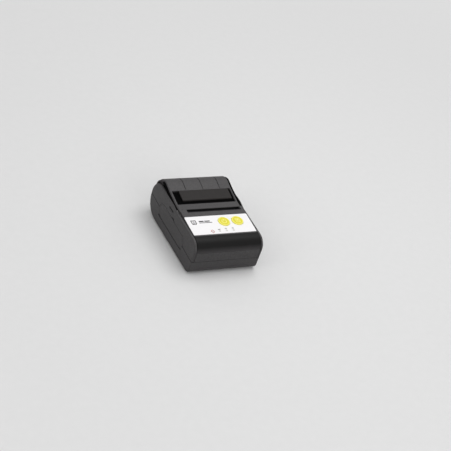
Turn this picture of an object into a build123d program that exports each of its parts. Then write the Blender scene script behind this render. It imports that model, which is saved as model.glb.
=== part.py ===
"""Portable thermal receipt printer for 58 mm paper, in millimetres, standing on its rubber feet.

X runs to the right, Y to the rear and Z up, with the origin under the middle of the case.
Places along the case are written as distances from its front face, as on a drawing,
and front_to_y turns such a distance into Y.
"""

import math
import os

from build123d import *

# Case
case_width = 79.0
case_length = 108.0
foot_height = 0.8
wall = 2.0
cheek_thickness = 2.5
cheek_height = 39.0
cheek_rear_height = cheek_height + 1.9
cheek_rise_start = case_length - 56.0
cheek_rise_end = case_length - 46.0
front_top_radius = 12.0
rear_top_radius = 16.0
rear_bottom_radius = 20.0
front_bottom_radius = 6.0
edge_round = 1.6
seam_front_height = 16.6
seam_slope = 2.8
seam_groove = 0.7
running_gap = 0.4

# Front cover and control panel
panel_front = 13.0
panel_front_height = cheek_height
panel_rear_height = panel_front_height + 2.0
slit_front = case_length - 59.3
cover_gap = 0.5
trim_low_height = cheek_height - 11.5
trim_depth = 0.9
overlay_width = 72.0
overlay_front = 15.0
overlay_rear = slit_front - 6.7
overlay_thickness = 0.5
button_diameter = 12.6
button_rise = 0.8
button_travel = 0.8
button_pitch = 15.6
power_button_x = 5.4
button_front = overlay_rear - 10.0
lens_diameter = 2.6
lens_pitch = 8.0
lens_first_x = -13.1
lens_front = overlay_front + 4.0

# Paper cover, which turns about hinge pins in the cheeks
barrel_radius = 13.2
barrel_rear_angle = -18.0
rear_wall_lap = 5.0
rear_wall_thickness = 1.4
hinge_front = case_length - rear_wall_thickness - running_gap - barrel_radius
cover_half_width = 36.0
shell_thickness = 1.6
nose_front = slit_front + 5.4
nose_height = panel_rear_height - 0.7
nose_rear = nose_front + 8.0
window_front = nose_rear + 5.0
crease_front = hinge_front - 12.5
crease_height = nose_height + 3.35
knee_height = nose_height + 0.2
hinge_height = nose_height - 7.1
opening_half_width = 33.8
window_half_width = 28.6
window_centre_x = 2.7
frame_half_width = 36.5
frame_thickness = 1.4
rim_chamfer = 0.9
flange_drop = 0.9
flange_depth = 2.6
flange_width = 1.4
hinge_pin_diameter = 4.0
pin_clearance = 0.05
groove_pitch = 19.8
groove_width = 0.7
groove_depth = 0.6

# Paper path and print mechanism
paper_centre_x = 2.3
platen_length = 58.0
platen_radius = 5.0
platen_front = nose_front + 4.1
platen_height = nose_height - platen_radius - 3.0
platen_shaft_diameter = 3.0
bush_diameter = 6.0
plate_thickness = 1.5
side_gap = 0.3
slit_width = 62.0
head_gap = 0.15
head_thickness = 0.7
sink_thickness = 2.4
pivot_height = platen_height - 8.3
pivot_diameter = 2.0
spring_length = 4.4
spring_radius = 1.9
spring_wire = 0.45
spring_turns = 5
roll_radius = 19.0
roll_front = platen_front + 21.8
bay_wall = 1.3

# Gears, all of one tooth size
gear_module = 0.5
platen_teeth = 20
idler_teeth = 20
small_teeth = 14
large_teeth = 26
pinion_teeth = 10
gear_width = 1.7
axle_diameter = 1.6
idler_angle = 265.0
compound_angle = 200.0
pinion_angle = 142.0
motor_radius = 6.8
motor_length = 12.0

# Boards, battery and connectors
board_thickness = 1.6
board_height = 17.0
board_half_width = 30.0
board_front = 6.0
board_rear = 39.0
key_board_drop = 6.2
key_board_thickness = 1.2
key_board_width = 44.0
switch_height = 1.3
switch_plunger = 0.5
battery_width = 52.0
battery_front = 6.5
battery_length = 37.0
battery_height = 11.0
battery_cover_half_width = 28.8
battery_cover_thickness = 1.2
battery_cover_rear = 50.0
battery_lip_height = 7.6
usb_front = 37.0
usb_width = 7.6
usb_height = 2.8
jack_front = 28.4
jack_width = 8.0
jack_height = 7.0
jack_bore = 5.6
port_sill = 18.8

# Port cover on the left side
door_front = 24.0
door_rear = 85.0
door_bottom = 12.0
door_top = 28.6
door_thickness = 1.4
door_gap = 0.4
door_pin_diameter = 1.0

# Release slider above the port cover
slider_front = platen_front - 0.7
slider_length = 6.0
slider_height = cheek_height - 4.4
slider_thickness = 1.2
slider_travel = 3.0
slider_slack = 0.4

# Fasteners and feet
foot_diameter = 7.0
foot_front = 22.0
foot_rear = case_length - 28.0
foot_side = 6.2
screw_front = 13.0
screw_rear = case_length - 18.0
screw_diameter = 2.2
screw_head_diameter = 4.0
boss_radius = 2.6

half_width = case_width / 2
half_length = case_length / 2
inner_half_width = half_width - cheek_thickness
floor_z = foot_height + wall


def front_to_y(distance):
    """Y of a point that lies this far behind the front face."""
    return distance - half_length


hinge_y = front_to_y(hinge_front)
platen_y = front_to_y(platen_front)
sink_rear_y = platen_y - platen_radius - head_gap - head_thickness
sink_front_y = sink_rear_y - sink_thickness
bulkhead_y = sink_front_y - spring_length
platen_left = paper_centre_x - platen_length / 2
platen_right = paper_centre_x + platen_length / 2
arm_left = platen_left - side_gap - plate_thickness
arm_right = platen_right + side_gap
plate_left = arm_left - side_gap - plate_thickness
plate_right = arm_right + plate_thickness + side_gap
gear_inner_x = plate_left - 0.3 - gear_width
gear_outer_x = gear_inner_x - 0.3 - gear_width
bay_y = front_to_y(roll_front)
bay_z = floor_z + bay_wall + roll_radius + 0.1


def outline_face(points, radii):
    """Flat face in the side view, from (distance from the front, height) corners."""
    corners = [(0, front_to_y(d), z) for d, z in points]
    return make_face(FilletPolyline(*corners, radius=radii, close=True))


def sharp_face(points):
    """Flat face in the side view with plain corners."""
    corners = [(0, front_to_y(d), z) for d, z in points]
    return make_face(Polyline(*corners, close=True))


def across(face, x0, x1):
    """Side view face pulled across the case from x0 to x1."""
    return Pos(x0, 0, 0) * extrude(face, amount=x1 - x0, dir=(1, 0, 0))


def block(x0, x1, y0, y1, z0, z1):
    """Box between six planes."""
    size = Box(x1 - x0, y1 - y0, z1 - z0)
    return Pos((x0 + x1) / 2, (y0 + y1) / 2, (z0 + z1) / 2) * size


def rod_x(radius, x0, x1, y, z):
    """Round bar along X."""
    bar = Cylinder(radius, x1 - x0)
    return Pos((x0 + x1) / 2, y, z) * Rot(0, 90, 0) * bar


def rod_y(radius, y0, y1, x, z):
    """Round bar along Y."""
    bar = Cylinder(radius, y1 - y0)
    return Pos(x, (y0 + y1) / 2, z) * Rot(90, 0, 0) * bar


def rod_z(radius, z0, z1, x, y):
    """Round bar along Z."""
    return Pos(x, y, (z0 + z1) / 2) * Cylinder(radius, z1 - z0)


def case_outline(inset):
    """Side view of the case, drawn this far inside its outer surface."""
    low = foot_height + inset
    front = inset
    rear = case_length - inset
    points = [
        (front + 1.0, low),
        (rear, low),
        (rear, cheek_rear_height - inset),
        (cheek_rise_end, cheek_rear_height - inset),
        (cheek_rise_start, cheek_height - inset),
        (front, cheek_height - inset - 0.8),
        (front, trim_low_height - 4.0),
    ]
    radii = [
        max(front_bottom_radius - inset, 0.5),
        max(rear_bottom_radius - inset, 0.5),
        max(rear_top_radius - inset, 0.5),
        8.0,
        8.0,
        max(front_top_radius - inset, 0.5),
        20.0,
    ]
    return outline_face(points, radii)


def seam_z(distance):
    """Height of the seam between the case halves at a distance from the front."""
    return seam_front_height + distance * math.tan(math.radians(seam_slope))


def seam_slab(below, above):
    """Thick plate that follows the seam across the whole case."""
    far = case_length + 10
    points = [
        (-10, seam_z(-10) - below),
        (far, seam_z(far) - below),
        (far, seam_z(far) + above),
        (-10, seam_z(-10) + above),
    ]
    return across(sharp_face(points), -half_width - 5, half_width + 5)


def case_solid():
    """Whole outer body with its rounded side edges, before it is hollowed."""
    body = across(case_outline(0), -half_width, half_width)
    side_edges = [e for e in body.edges() if abs(abs(e.center().X) - half_width) < 0.01]
    return fillet(side_edges, edge_round)


def door_outline(grow):
    """Outline of the port cover in the side view, grown by this much."""
    points = [
        (door_front + 2.5 - grow * 0.4, door_bottom - grow),
        (door_rear - 5.5 + grow * 0.4, door_bottom - grow),
        (door_rear + grow, door_bottom + 8.4),
        (door_rear - 2.0 + grow, door_top - 2.2),
        (door_rear - 9.0, door_top + grow),
        (door_front + 4.0, door_top - 2.2 + grow),
        (door_front - grow, door_bottom + 9.0),
    ]
    return outline_face(points, [1.0, 2.0, 2.0, 3.0, 4.0, 3.0, 3.0])


door_outer_x = -half_width
door_inner_x = door_outer_x + door_thickness
door_pin_x = door_outer_x + door_thickness / 2
door_pin_z = door_bottom + door_thickness / 2
door_pin_front = front_to_y(door_front + 4.0)
door_pin_rear = front_to_y(door_rear - 7.0)
pin_seat = 1.6


def door_recess():
    """Shallow pocket in the left side that the port cover lies in."""
    pocket = across(door_outline(door_gap), door_outer_x - 5, door_inner_x + 0.2)
    thumb_y = front_to_y((door_front + door_rear) / 2)
    notch = Pos(door_outer_x - 4.4, thumb_y, door_top - 0.4) * Sphere(5.2)
    swing = rod_y(
        door_thickness / 2 + door_gap,
        door_pin_front - pin_seat - 1.0,
        door_pin_rear + pin_seat + 3.0,
        door_pin_x,
        door_pin_z,
    )
    return pocket + notch + swing


def door_pin_holes():
    """Blind seats of the port cover's pin in the case."""
    front = door_pin_front - pin_seat
    rear = door_pin_rear + pin_seat
    return rod_y(door_pin_diameter / 2, front, rear, door_pin_x, door_pin_z)


def door_lugs():
    """Two small lugs in the pocket that hold the ends of the port cover's pin."""
    lugs = []
    for y0 in (door_pin_front - pin_seat, door_pin_rear):
        y1 = y0 + pin_seat
        barrel = rod_y(door_thickness / 2, y0, y1, door_pin_x, door_pin_z)
        web_low = door_bottom
        web = block(door_pin_x, door_inner_x + 0.4, y0, y1, web_low, web_low + door_thickness)
        lugs.append(barrel + web)
    return lugs[0] + lugs[1]


def port_holes():
    """Openings behind the port cover for the two connectors."""
    usb_y = front_to_y(usb_front)
    jack_y = front_to_y(jack_front)
    usb = block(
        door_outer_x - 1,
        -inner_half_width + 0.5,
        usb_y - usb_width / 2 - 0.2,
        usb_y + usb_width / 2 + 0.2,
        port_sill - 0.2,
        port_sill + usb_height + 0.2,
    )
    jack_z = port_sill + jack_height / 2
    jack = rod_x(jack_bore / 2 + 0.6, door_outer_x - 1, -inner_half_width + 0.5, jack_y, jack_z)
    return usb + jack


def slider_slot():
    """Slot in the left cheek for the release slider."""
    y0 = front_to_y(slider_front)
    half = slider_thickness / 2 + slider_slack / 2
    return block(
        -half_width - 1,
        -inner_half_width + 1,
        y0,
        y0 + slider_length + slider_travel + 2 * slider_slack,
        slider_height - half,
        slider_height + half,
    )


def centre_cut():
    """Everything between the cheeks, open at the top for the front cover and paper cover."""
    return block(
        -inner_half_width,
        inner_half_width,
        -half_length - 5,
        hinge_y + barrel_radius + running_gap,
        seam_z(0) - 20,
        cheek_rear_height + 20,
    )


def rear_wall():
    """Curved rear wall of the upper case, concentric with the paper cover's barrel."""
    inner = barrel_radius + running_gap
    outer = inner + rear_wall_thickness
    tube = rod_x(outer, -inner_half_width - 0.5, inner_half_width + 0.5, hinge_y, hinge_height)
    bore = rod_x(inner, -half_width, half_width, hinge_y, hinge_height)
    far = outer + 5
    top = math.radians(barrel_rear_angle + rear_wall_lap)
    points = [
        (hinge_front, hinge_height),
        (hinge_front + far * math.cos(top), hinge_height + far * math.sin(top)),
        (hinge_front + far, hinge_height - far * 0.7),
    ]
    sector = across(sharp_face(points), -half_width, half_width)
    low = block(
        -inner_half_width - 0.5,
        inner_half_width + 0.5,
        hinge_y + inner * 0.9,
        half_length,
        seam_z(case_length) - 3,
        hinge_height - 4,
    )
    outer_limit = across(case_outline(0), -half_width, half_width)
    return ((tube & sector) - bore & outer_limit) + ((low - bore) & outer_limit)


screw_places = [
    (-inner_half_width + boss_radius + 0.2, front_to_y(screw_front)),
    (inner_half_width - boss_radius - 0.2, front_to_y(screw_front)),
    (-inner_half_width + boss_radius + 0.2, front_to_y(screw_rear)),
    (inner_half_width - boss_radius - 0.2, front_to_y(screw_rear)),
]
boss_split = 8.0
boss_top = 15.5


def upper_case():
    """Cheeks, rear wall and front bridge, above the seam."""
    solid = case_solid()
    inner = across(case_outline(wall), -inner_half_width, inner_half_width)
    shell = solid - inner - centre_cut()
    shell += rear_wall()
    bridge_z = seam_z(0)
    front = -half_length
    bridge = inner_half_width + 0.5
    shell += block(-bridge, bridge, front + wall + 0.1, front + 6, bridge_z, bridge_z + 3)
    shell -= seam_slab(200, 0)
    shell -= rod_x(barrel_radius + running_gap, -inner_half_width, inner_half_width, hinge_y, hinge_height)
    for x, y in screw_places[:2]:
        shell += rod_z(boss_radius, boss_split, bridge_z + 6, x, y)
        web_x = math.copysign(inner_half_width + 0.2, x)
        shell += block(min(x, web_x), max(x, web_x), y - 1, y + 1, bridge_z + 1, bridge_z + 6)
        shell -= rod_z(screw_diameter / 2, boss_split - 1, boss_top, x, y)
    pin_x = inner_half_width + cheek_thickness * 0.7
    shell -= rod_x(hinge_pin_diameter / 2, -pin_x, pin_x, hinge_y, hinge_height)
    shell -= door_recess()
    shell -= port_holes()
    shell -= slider_slot()
    shell -= cheek_rebate()
    return shell - seam_edge_groove()


def seam_edge_groove():
    """Fine groove round the case along the seam."""
    half = seam_groove / 2
    outer = across(case_outline(-1), -half_width - 1, half_width + 1)
    depth = seam_groove
    core = across(case_outline(depth), -half_width + depth, half_width - depth)
    return (outer - core) & seam_slab(half, half)


def battery_cover_body(grow):
    """Skin of the case that the battery cover takes up, grown for the recess it slides in."""
    outer = across(case_outline(-1), -half_width - 1, half_width + 1)
    core = across(case_outline(battery_cover_thickness + grow), -half_width - 2, half_width + 2)
    half = battery_cover_half_width + grow
    rear = front_to_y(battery_cover_rear) + grow
    low = block(-half, half, -half_length - 1, rear, foot_height - 1, floor_z)
    lip_rear = -half_length + front_bottom_radius
    lip = block(-half, half, -half_length - 1, lip_rear, foot_height - 1, battery_lip_height + grow)
    return (outer - core) & (low + lip)


def lower_case():
    """Lower half: floor, low walls, screw bosses and the battery opening."""
    solid = case_solid()
    inner = across(case_outline(wall), -inner_half_width, inner_half_width)
    shell = solid - inner
    shell -= seam_slab(0, 200)
    for x, y in screw_places:
        shell += rod_z(boss_radius, floor_z - 0.5, boss_split, x, y)
    for x, y in screw_places:
        shell -= rod_z(screw_diameter / 2 + 0.2, foot_height - 1, boss_split + 1, x, y)
        shell -= rod_z(screw_head_diameter / 2 + 0.2, foot_height - 1, foot_height + 2.4, x, y)
    shell -= battery_cover_body(0.2)
    shell -= block(
        -battery_width / 2 - 0.5,
        battery_width / 2 + 0.5,
        front_to_y(battery_front) - 0.5,
        front_to_y(battery_front + battery_length) + 0.5,
        foot_height - 1,
        floor_z + 0.1,
    )
    rail = block(
        -rail_x - rail_width / 2,
        -rail_x + rail_width / 2,
        front_to_y(battery_front),
        front_to_y(board_rear),
        floor_z - 0.2,
        board_height - 0.1,
    )
    shell += rail + mirror(rail, about=Plane.YZ)
    for x, y in board_screw_places:
        shell -= rod_z(board_screw_radius, board_height - 4.0, board_height, x, y)
    for x, y in leg_screw_places:
        shell -= rod_z(leg_screw_radius, floor_z - 1.0, floor_z + 1, x, y)
    for x, y in foot_places:
        shell -= rod_z(foot_diameter / 2, foot_height - 1, foot_height + foot_inset, x, y)
    shell -= door_recess()
    shell -= cheek_rebate()
    shell += door_lugs()
    shell -= door_pin_holes()
    shell -= port_holes()
    return shell - seam_edge_groove()


foot_inset = 0.7
foot_places = [
    (-half_width + foot_side, front_to_y(foot_front)),
    (half_width - foot_side, front_to_y(foot_front)),
    (-half_width + foot_side, front_to_y(foot_rear)),
    (half_width - foot_side, front_to_y(foot_rear)),
]


def rubber_feet():
    """Four round feet set into the floor."""
    return [rod_z(foot_diameter / 2, 0, foot_height + foot_inset, x, y) for x, y in foot_places]


def battery_cover():
    """Sliding cover under the battery, with a lip on the front face."""
    body = battery_cover_body(0) & case_solid()
    for index in range(5):
        y = front_to_y(9.0 + index * 2.0)
        body -= block(-8, 8, y, y + 0.8, foot_height - 1, foot_height + 0.35)
    return body


def panel_z(distance):
    """Height of the control panel's surface at a distance from the front."""
    run = (distance - panel_front) / (slit_front - panel_front)
    return panel_front_height + run * (panel_rear_height - panel_front_height)


panel_tilt = math.degrees(
    math.atan2(panel_rear_height - panel_front_height, slit_front - panel_front)
)
cover_panel_half = inner_half_width - cover_gap
panel_step_width = 0.5
panel_step_depth = 1.4


def front_outline(inset, bottom):
    """Side view of the front cover's outer surface, closed at its rear edge."""
    top_front = panel_z(0) - inset
    points = [
        (inset + 0.05, bottom),
        (panel_rear, bottom),
        (panel_rear, panel_z(panel_rear) - inset),
        (inset + 0.05, top_front),
    ]
    return outline_face(points, [0, 0, 0, max(front_top_radius - inset, 0.5)])


def panel_frame():
    """Coordinate system on the control panel's surface, over the middle of the case."""
    return Pos(0, front_to_y(slit_front), panel_rear_height) * Rot(panel_tilt, 0, 0)


def on_panel(shape, x, distance, height):
    """Shape set on the panel's surface at a distance from the front face."""
    along = (distance - slit_front) / math.cos(math.radians(panel_tilt))
    return panel_frame() * Pos(x, along, height) * shape


def trim_slab(grow):
    """Region round the front top corner that the trim fills."""
    return block(
        -half_width,
        half_width,
        -half_length - 2,
        front_to_y(overlay_front - 1.6) + grow,
        trim_low_height - grow,
        60,
    )


def panel_side_steps():
    """Shadow steps along both sides of the control panel, behind the trim."""
    front = overlay_front - 1.6
    rear = slit_front + 1.0
    points = [
        (front, panel_z(front) - panel_step_depth),
        (rear, panel_z(rear) - panel_step_depth),
        (rear, 60),
        (front, 60),
    ]
    edge = -cover_panel_half
    step = across(sharp_face(points), edge - 1, edge + panel_step_width)
    return step + mirror(step, about=Plane.YZ)


switch_top = switch_height + switch_plunger - key_board_drop
button_places = [power_button_x, power_button_x + button_pitch]
lens_places = [lens_first_x + index * lens_pitch for index in range(4)]


def front_cover():
    """Panel between the cheeks from the seam up the front and back to the slit."""
    bottom = seam_z(0) + 0.2
    half = cover_panel_half
    outer = across(front_outline(0, bottom), -half, half)
    inner = across(front_outline(wall, bottom - 1), -half - 1, half + 1)
    body = outer - inner
    skin = across(front_outline(0, bottom - 5), -half - 1, half + 1)
    skin -= across(front_outline(trim_depth, bottom - 6), -half - 2, half + 2)
    body -= skin & trim_slab(0.1)
    slit_y = front_to_y(slit_front)
    body += block(slit_left, slit_right, slit_y - wall, slit_y, tear_bar_low, panel_rear_height - 0.3)
    body -= block(slit_left, slit_right, slit_y, half_length, 0, 60)
    gear_path_front = platen_y - gear_tip_radius(platen_teeth) - 0.1
    gear_left = gear_outer_x - 0.4
    body -= block(gear_left, gear_left + gear_width + 0.8, gear_path_front, half_length, 0, 60)
    body -= seam_slab(20, 0.2)
    pocket = Box(overlay_width, overlay_rear - overlay_front, overlay_thickness * 2)
    middle = (overlay_front + overlay_rear) / 2
    body -= on_panel(pocket, 0, middle, 0)
    for x in button_places:
        hole = Cylinder(button_diameter / 2 - 0.6, 20)
        well = Cylinder(button_diameter / 2 + 0.2, well_depth * 2)
        body -= on_panel(hole, x, button_front, 0) + on_panel(well, x, button_front, 0)
    for x, distance in key_board_posts:
        post = Pos(0, 0, -key_board_drop / 2 - 0.5) * Cylinder(1.4, key_board_drop - 1.05)
        body += on_panel(post, x, distance, 0)
    for x in lens_places:
        body -= on_panel(Cylinder(lens_diameter / 2, 12), x, lens_front, 0)
    return body - panel_side_steps()


well_depth = overlay_thickness + button_travel + 0.15
slit_left = paper_centre_x - slit_width / 2
slit_right = paper_centre_x + slit_width / 2
panel_rear = nose_front - running_gap
key_board_posts = [
    (-14.0, overlay_rear - 6.0),
    (24.0, overlay_front + 3.5),
    (25.2, overlay_rear - 3.5),
]
tear_bar_low = panel_rear_height - 3.4
tear_bar_thickness = 0.8
tear_tooth_pitch = 1.55
tear_tooth_height = 0.9


def tear_bar():
    """Thin steel strip behind the front cover's rear edge, toothed along its top."""
    count = int(slit_width / tear_tooth_pitch)
    left = paper_centre_x - count * tear_tooth_pitch / 2
    y0 = front_to_y(slit_front) + 0.02
    top = panel_rear_height - 0.1
    points = [(left, y0, tear_bar_low), (left + count * tear_tooth_pitch, y0, tear_bar_low)]
    for index in range(count, 0, -1):
        x = left + index * tear_tooth_pitch
        points.append((x, y0, top))
        points.append((x - tear_tooth_pitch / 2, y0, top + tear_tooth_height))
    points.append((left, y0, top))
    face = make_face(Polyline(*points, close=True))
    return extrude(face, amount=tear_bar_thickness, dir=(0, 1, 0))


def front_trim():
    """Dark strip round the front top corner, set into the front cover."""
    half = cover_panel_half
    bottom = seam_z(0)
    skin = across(front_outline(0.15, bottom - 5), -half, half)
    skin -= across(front_outline(trim_depth, bottom - 6), -half - 2, half + 2)
    return skin & trim_slab(0)


def control_panel_overlay():
    """Film over the keys, in its shallow pocket."""
    film = Box(overlay_width - 0.3, overlay_rear - overlay_front - 0.3, overlay_thickness)
    film = fillet(film.edges().filter_by(Axis.Z), 1.2)
    middle = (overlay_front + overlay_rear) / 2
    body = on_panel(film, 0, middle, -overlay_thickness / 2)
    for x in button_places:
        body -= on_panel(Cylinder(button_diameter / 2 + 0.25, 10), x, button_front, 0)
    for x in lens_places:
        body -= on_panel(Cylinder(lens_diameter / 2, 10), x, lens_front, 0)
    return body


def push_button(x):
    """Round key with a flange under the panel's rim and a stem down to its switch."""
    cap_height = button_rise + overlay_thickness
    radius = button_diameter / 2
    cap = Cylinder(radius, cap_height)
    cap = fillet(cap.edges().group_by(Axis.Z)[-1], 0.4)
    cap = Pos(0, 0, button_rise - cap_height / 2 + 0.02) * cap
    stem_low = switch_top + button_travel + 0.1
    stem_radius = radius - 1.2
    stem = Pos(0, 0, (stem_low + 0.1) / 2) * Cylinder(stem_radius, 0.1 - stem_low)
    return on_panel(cap + stem, x, button_front, 0)


def indicator_lenses():
    """Four clear lenses through the overlay and the panel."""
    rise = 0.15
    lens = Cylinder(lens_diameter / 2 - 0.05, wall + rise)
    lens = fillet(lens.edges().group_by(Axis.Z)[-1], 0.12)
    return [on_panel(lens, x, lens_front, rise - (wall + rise) / 2) for x in lens_places]


def crown_angle():
    """Angle on the barrel where the straight slope from the crease touches it."""
    ahead = crease_front - hinge_front
    above = crease_height - hinge_height
    return math.atan2(above, ahead) - math.acos(barrel_radius / math.hypot(ahead, above))


def cover_line(offset):
    """Outer line of the paper cover in the side view, moved inwards by the offset."""
    radius = barrel_radius - offset
    angle = math.radians(barrel_rear_angle)
    top_y = front_to_y(hinge_front)
    arc_top = crown_angle()
    arc_mid = (angle + arc_top) / 2
    tail = (0, top_y + radius * math.cos(angle), hinge_height + radius * math.sin(angle))
    mid = (0, top_y + radius * math.cos(arc_mid), hinge_height + radius * math.sin(arc_mid))
    crown = (0, top_y + radius * math.cos(arc_top), hinge_height + radius * math.sin(arc_top))
    crease = (0, front_to_y(crease_front), crease_height - offset)
    knee = (0, front_to_y(nose_rear), knee_height - offset)
    nose = (0, front_to_y(nose_front), nose_height - offset)
    return tail, mid, crown, crease, knee, nose


def cover_plate(outer_offset, inner_offset, front_inset):
    """Face between two lines of the paper cover."""
    tail, mid, crown, crease, knee, nose = cover_line(outer_offset)
    tail2, mid2, crown2, crease2, knee2, nose2 = cover_line(inner_offset)
    nose = (0, nose[1] + front_inset, nose[2])
    nose2 = (0, nose2[1] + front_inset, nose2[2])
    edges = [
        ThreePointArc(tail, mid, crown),
        Polyline(crown, crease, knee, nose, nose2, knee2, crease2, crown2),
        ThreePointArc(crown2, mid2, tail2),
        Line(tail2, tail),
    ]
    return make_face(edges)


def cover_window_opening():
    """Opening of the cover shell round the window block and the grooves beside it."""
    return block(
        -opening_half_width,
        opening_half_width,
        front_to_y(nose_rear),
        front_to_y(crease_front),
        hinge_height,
        60,
    )


def paper_cover_shell():
    """Outer shell of the paper cover: nose strip, side rims and dome."""
    half = cover_half_width
    body = across(cover_plate(0, shell_thickness, 0), -half, half)
    body -= cover_window_opening()
    for side in (-1, 1):
        rim = [e for e in body.edges() if abs(e.center().X - side * half) < 0.01]
        outer = [e for e in rim if is_on_outer_line(e)]
        body = chamfer(outer, rim_chamfer) if outer else body
    for index in (-1, 0, 1):
        x = window_centre_x + index * groove_pitch
        body -= dome_groove(x)
    return body


def is_on_outer_line(edge):
    """Whether an edge of the shell lies on its outer surface."""
    mid = edge @ 0.5
    radius = math.hypot(mid.Y - hinge_y, mid.Z - hinge_height)
    crown, crease, knee, nose = cover_line(0)[2:]
    if mid.Y > crown[1]:
        return radius > barrel_radius - 0.05
    for a, b in ((crown, crease), (crease, knee), (knee, nose)):
        if b[1] - 0.01 <= mid.Y <= a[1] + 0.01 and a[1] - b[1] > 0.01:
            z = b[2] + (mid.Y - b[1]) / (a[1] - b[1]) * (a[2] - b[2])
            return abs(mid.Z - z) < 0.05 and edge.length > 1.7
    return False


def dome_groove(x):
    """Shallow groove along the dome from the crease to the rear."""
    ring = cover_plate(-1, groove_depth, 0)
    strip = across(ring, x - groove_width / 2, x + groove_width / 2)
    front = front_to_y(crease_front) + 0.8
    return strip & block(x - 5, x + 5, front, half_length + 5, hinge_height, 60)


flange_half_width = inner_half_width + flange_width - running_gap
flange_low = hinge_height + 0.5


def cheek_rebate():
    """Steps along the inner top edges of the cheeks, for the cover frame's side flanges."""
    low = flange_depth + 0.5
    points = [
        (nose_front + 0.6, nose_height - low),
        (nose_rear, knee_height - low),
        (crease_front + 0.6, crease_height - low),
        (crease_front + 0.6, 60),
        (nose_front + 0.6, 60),
    ]
    outer = -inner_half_width - flange_width
    inner = -inner_half_width + 0.1
    step = across(sharp_face(points), outer, inner)
    ring = rod_x(barrel_radius - flange_drop + 0.5, outer, inner, hinge_y, hinge_height)
    ring -= rod_x(barrel_radius - flange_depth - 0.4, outer - 1, inner + 1, hinge_y, hinge_height)
    above = block(-half_width, 0, hinge_y + barrel_radius * 0.45, half_length, hinge_height, 60)
    behind = block(-half_width, 0, hinge_y, half_length, hinge_height - barrel_radius, 60)
    step += ring & (above + behind)
    return step + mirror(step, about=Plane.YZ)


def slope_z(distance):
    """Height of the cover's slope between the knee and the crease."""
    run = (distance - nose_rear) / (crease_front - nose_rear)
    return knee_height + run * (crease_height - knee_height)


def cover_inner_frame():
    """Black frame under the shell with side plates, platen arms and hinge ears."""
    half = frame_half_width
    lower = shell_thickness + frame_thickness
    body = across(cover_plate(shell_thickness, lower, 0.8), -half, half)
    tail_cut = rod_x(barrel_radius + 5, -half - 1, half + 1, hinge_y, hinge_height)
    body -= tail_cut & block(-half - 1, half + 1, hinge_y + 5.5, half_length + 9, 0, 60)
    opening = block(
        window_centre_x - window_half_width + 3,
        window_centre_x + window_half_width - 3,
        front_to_y(window_front) + 3,
        front_to_y(crease_front) - 2.5,
        hinge_height,
        60,
    )
    body -= opening
    side_points = [
        (nose_front + 1.2, nose_height - shell_thickness - 0.7),
        (nose_front + 1.2, nose_height - 6.0),
        (platen_front + 9.8, nose_height - 6.5),
        (hinge_front - 6, hinge_height - 2.0),
        (hinge_front, hinge_height - 4.2),
        (hinge_front + 4.2, hinge_height),
        (hinge_front + 4.2, hinge_height + barrel_radius - shell_thickness - 2.0),
        (crease_front, crease_height - shell_thickness - 0.7),
        (nose_rear, knee_height - shell_thickness - 0.7),
    ]
    side = across(outline_face(side_points, [0, 1, 4, 3, 3, 3, 1, 0, 0]), -half, -half + 1.3)
    body += side + mirror(side, about=Plane.YZ)
    barrel_end = rod_x(barrel_radius - shell_thickness, -half, -half + 1.3, hinge_y, hinge_height)
    end_low = hinge_height + (barrel_radius - shell_thickness) * math.sin(math.radians(barrel_rear_angle))
    barrel_end &= block(-half_width, 0, hinge_y - 2, half_length, end_low, 60)
    body += barrel_end + mirror(barrel_end, about=Plane.YZ)
    band = across(cover_plate(flange_drop, flange_depth, 1.2), -flange_half_width, -cover_half_width - 0.1)
    flange = band & block(-half_width, 0, -half_length, half_length, flange_low, 60)
    body += flange + mirror(flange, about=Plane.YZ)
    for x0 in (arm_left, arm_right):
        body += platen_arm(x0)
    relief = gear_tip_radius(platen_teeth) + running_gap
    body -= rod_x(relief, gear_outer_x - 0.3, gear_inner_x, platen_y, platen_height)
    pin_hole = hinge_pin_diameter / 2 + pin_clearance
    body -= rod_x(pin_hole, -half - 1, half + 1, hinge_y, hinge_height)
    for x0 in (arm_left, arm_right):
        x1 = x0 + plate_thickness
        body -= rod_x(bush_diameter / 2 - 0.8, x0 - 0.01, x1 + 0.01, platen_y, platen_height)
    return body


def platen_arm(x0):
    """Arm that reaches from the frame down to the platen's bush."""
    top = nose_height - shell_thickness - 0.7
    points = [
        (platen_front - 2.8, top),
        (platen_front - 3.6, platen_height - 3.6),
        (platen_front + 3.6, platen_height - 3.6),
        (platen_front + 5.5, top + 0.3),
    ]
    return across(outline_face(points, [0, 3.4, 3.4, 0]), x0, x0 + plate_thickness)


def cover_window():
    """Smoked window block between the side grooves, sloping up to the dome."""
    drop = shell_thickness
    rear = crease_front - 0.15
    points = [
        (window_front, slope_z(window_front)),
        (rear, slope_z(rear)),
        (rear, slope_z(rear) - drop),
        (window_front, slope_z(window_front) - drop),
    ]
    left = window_centre_x - window_half_width
    plate = across(sharp_face(points), left, left + 2 * window_half_width)
    top = [e for e in plate.edges() if e.center().Y < front_to_y(window_front) + 0.01]
    top = [e for e in top if e.center().Z > slope_z(window_front) - 0.01]
    return chamfer(top, 0.5)


def platen_roller():
    """Rubber sleeve."""
    sleeve = rod_x(platen_radius, platen_left, platen_right, platen_y, platen_height)
    bore = rod_x(platen_shaft_diameter / 2, platen_left - 1, platen_right + 1, platen_y, platen_height)
    return sleeve - bore


def platen_shaft():
    """Steel shaft through the rubber, the bushes and the gear."""
    left = gear_outer_x - 0.1
    right = plate_right + plate_thickness + 0.3
    shaft = rod_x(platen_shaft_diameter / 2, left, right, platen_y, platen_height)
    return shaft


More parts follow.
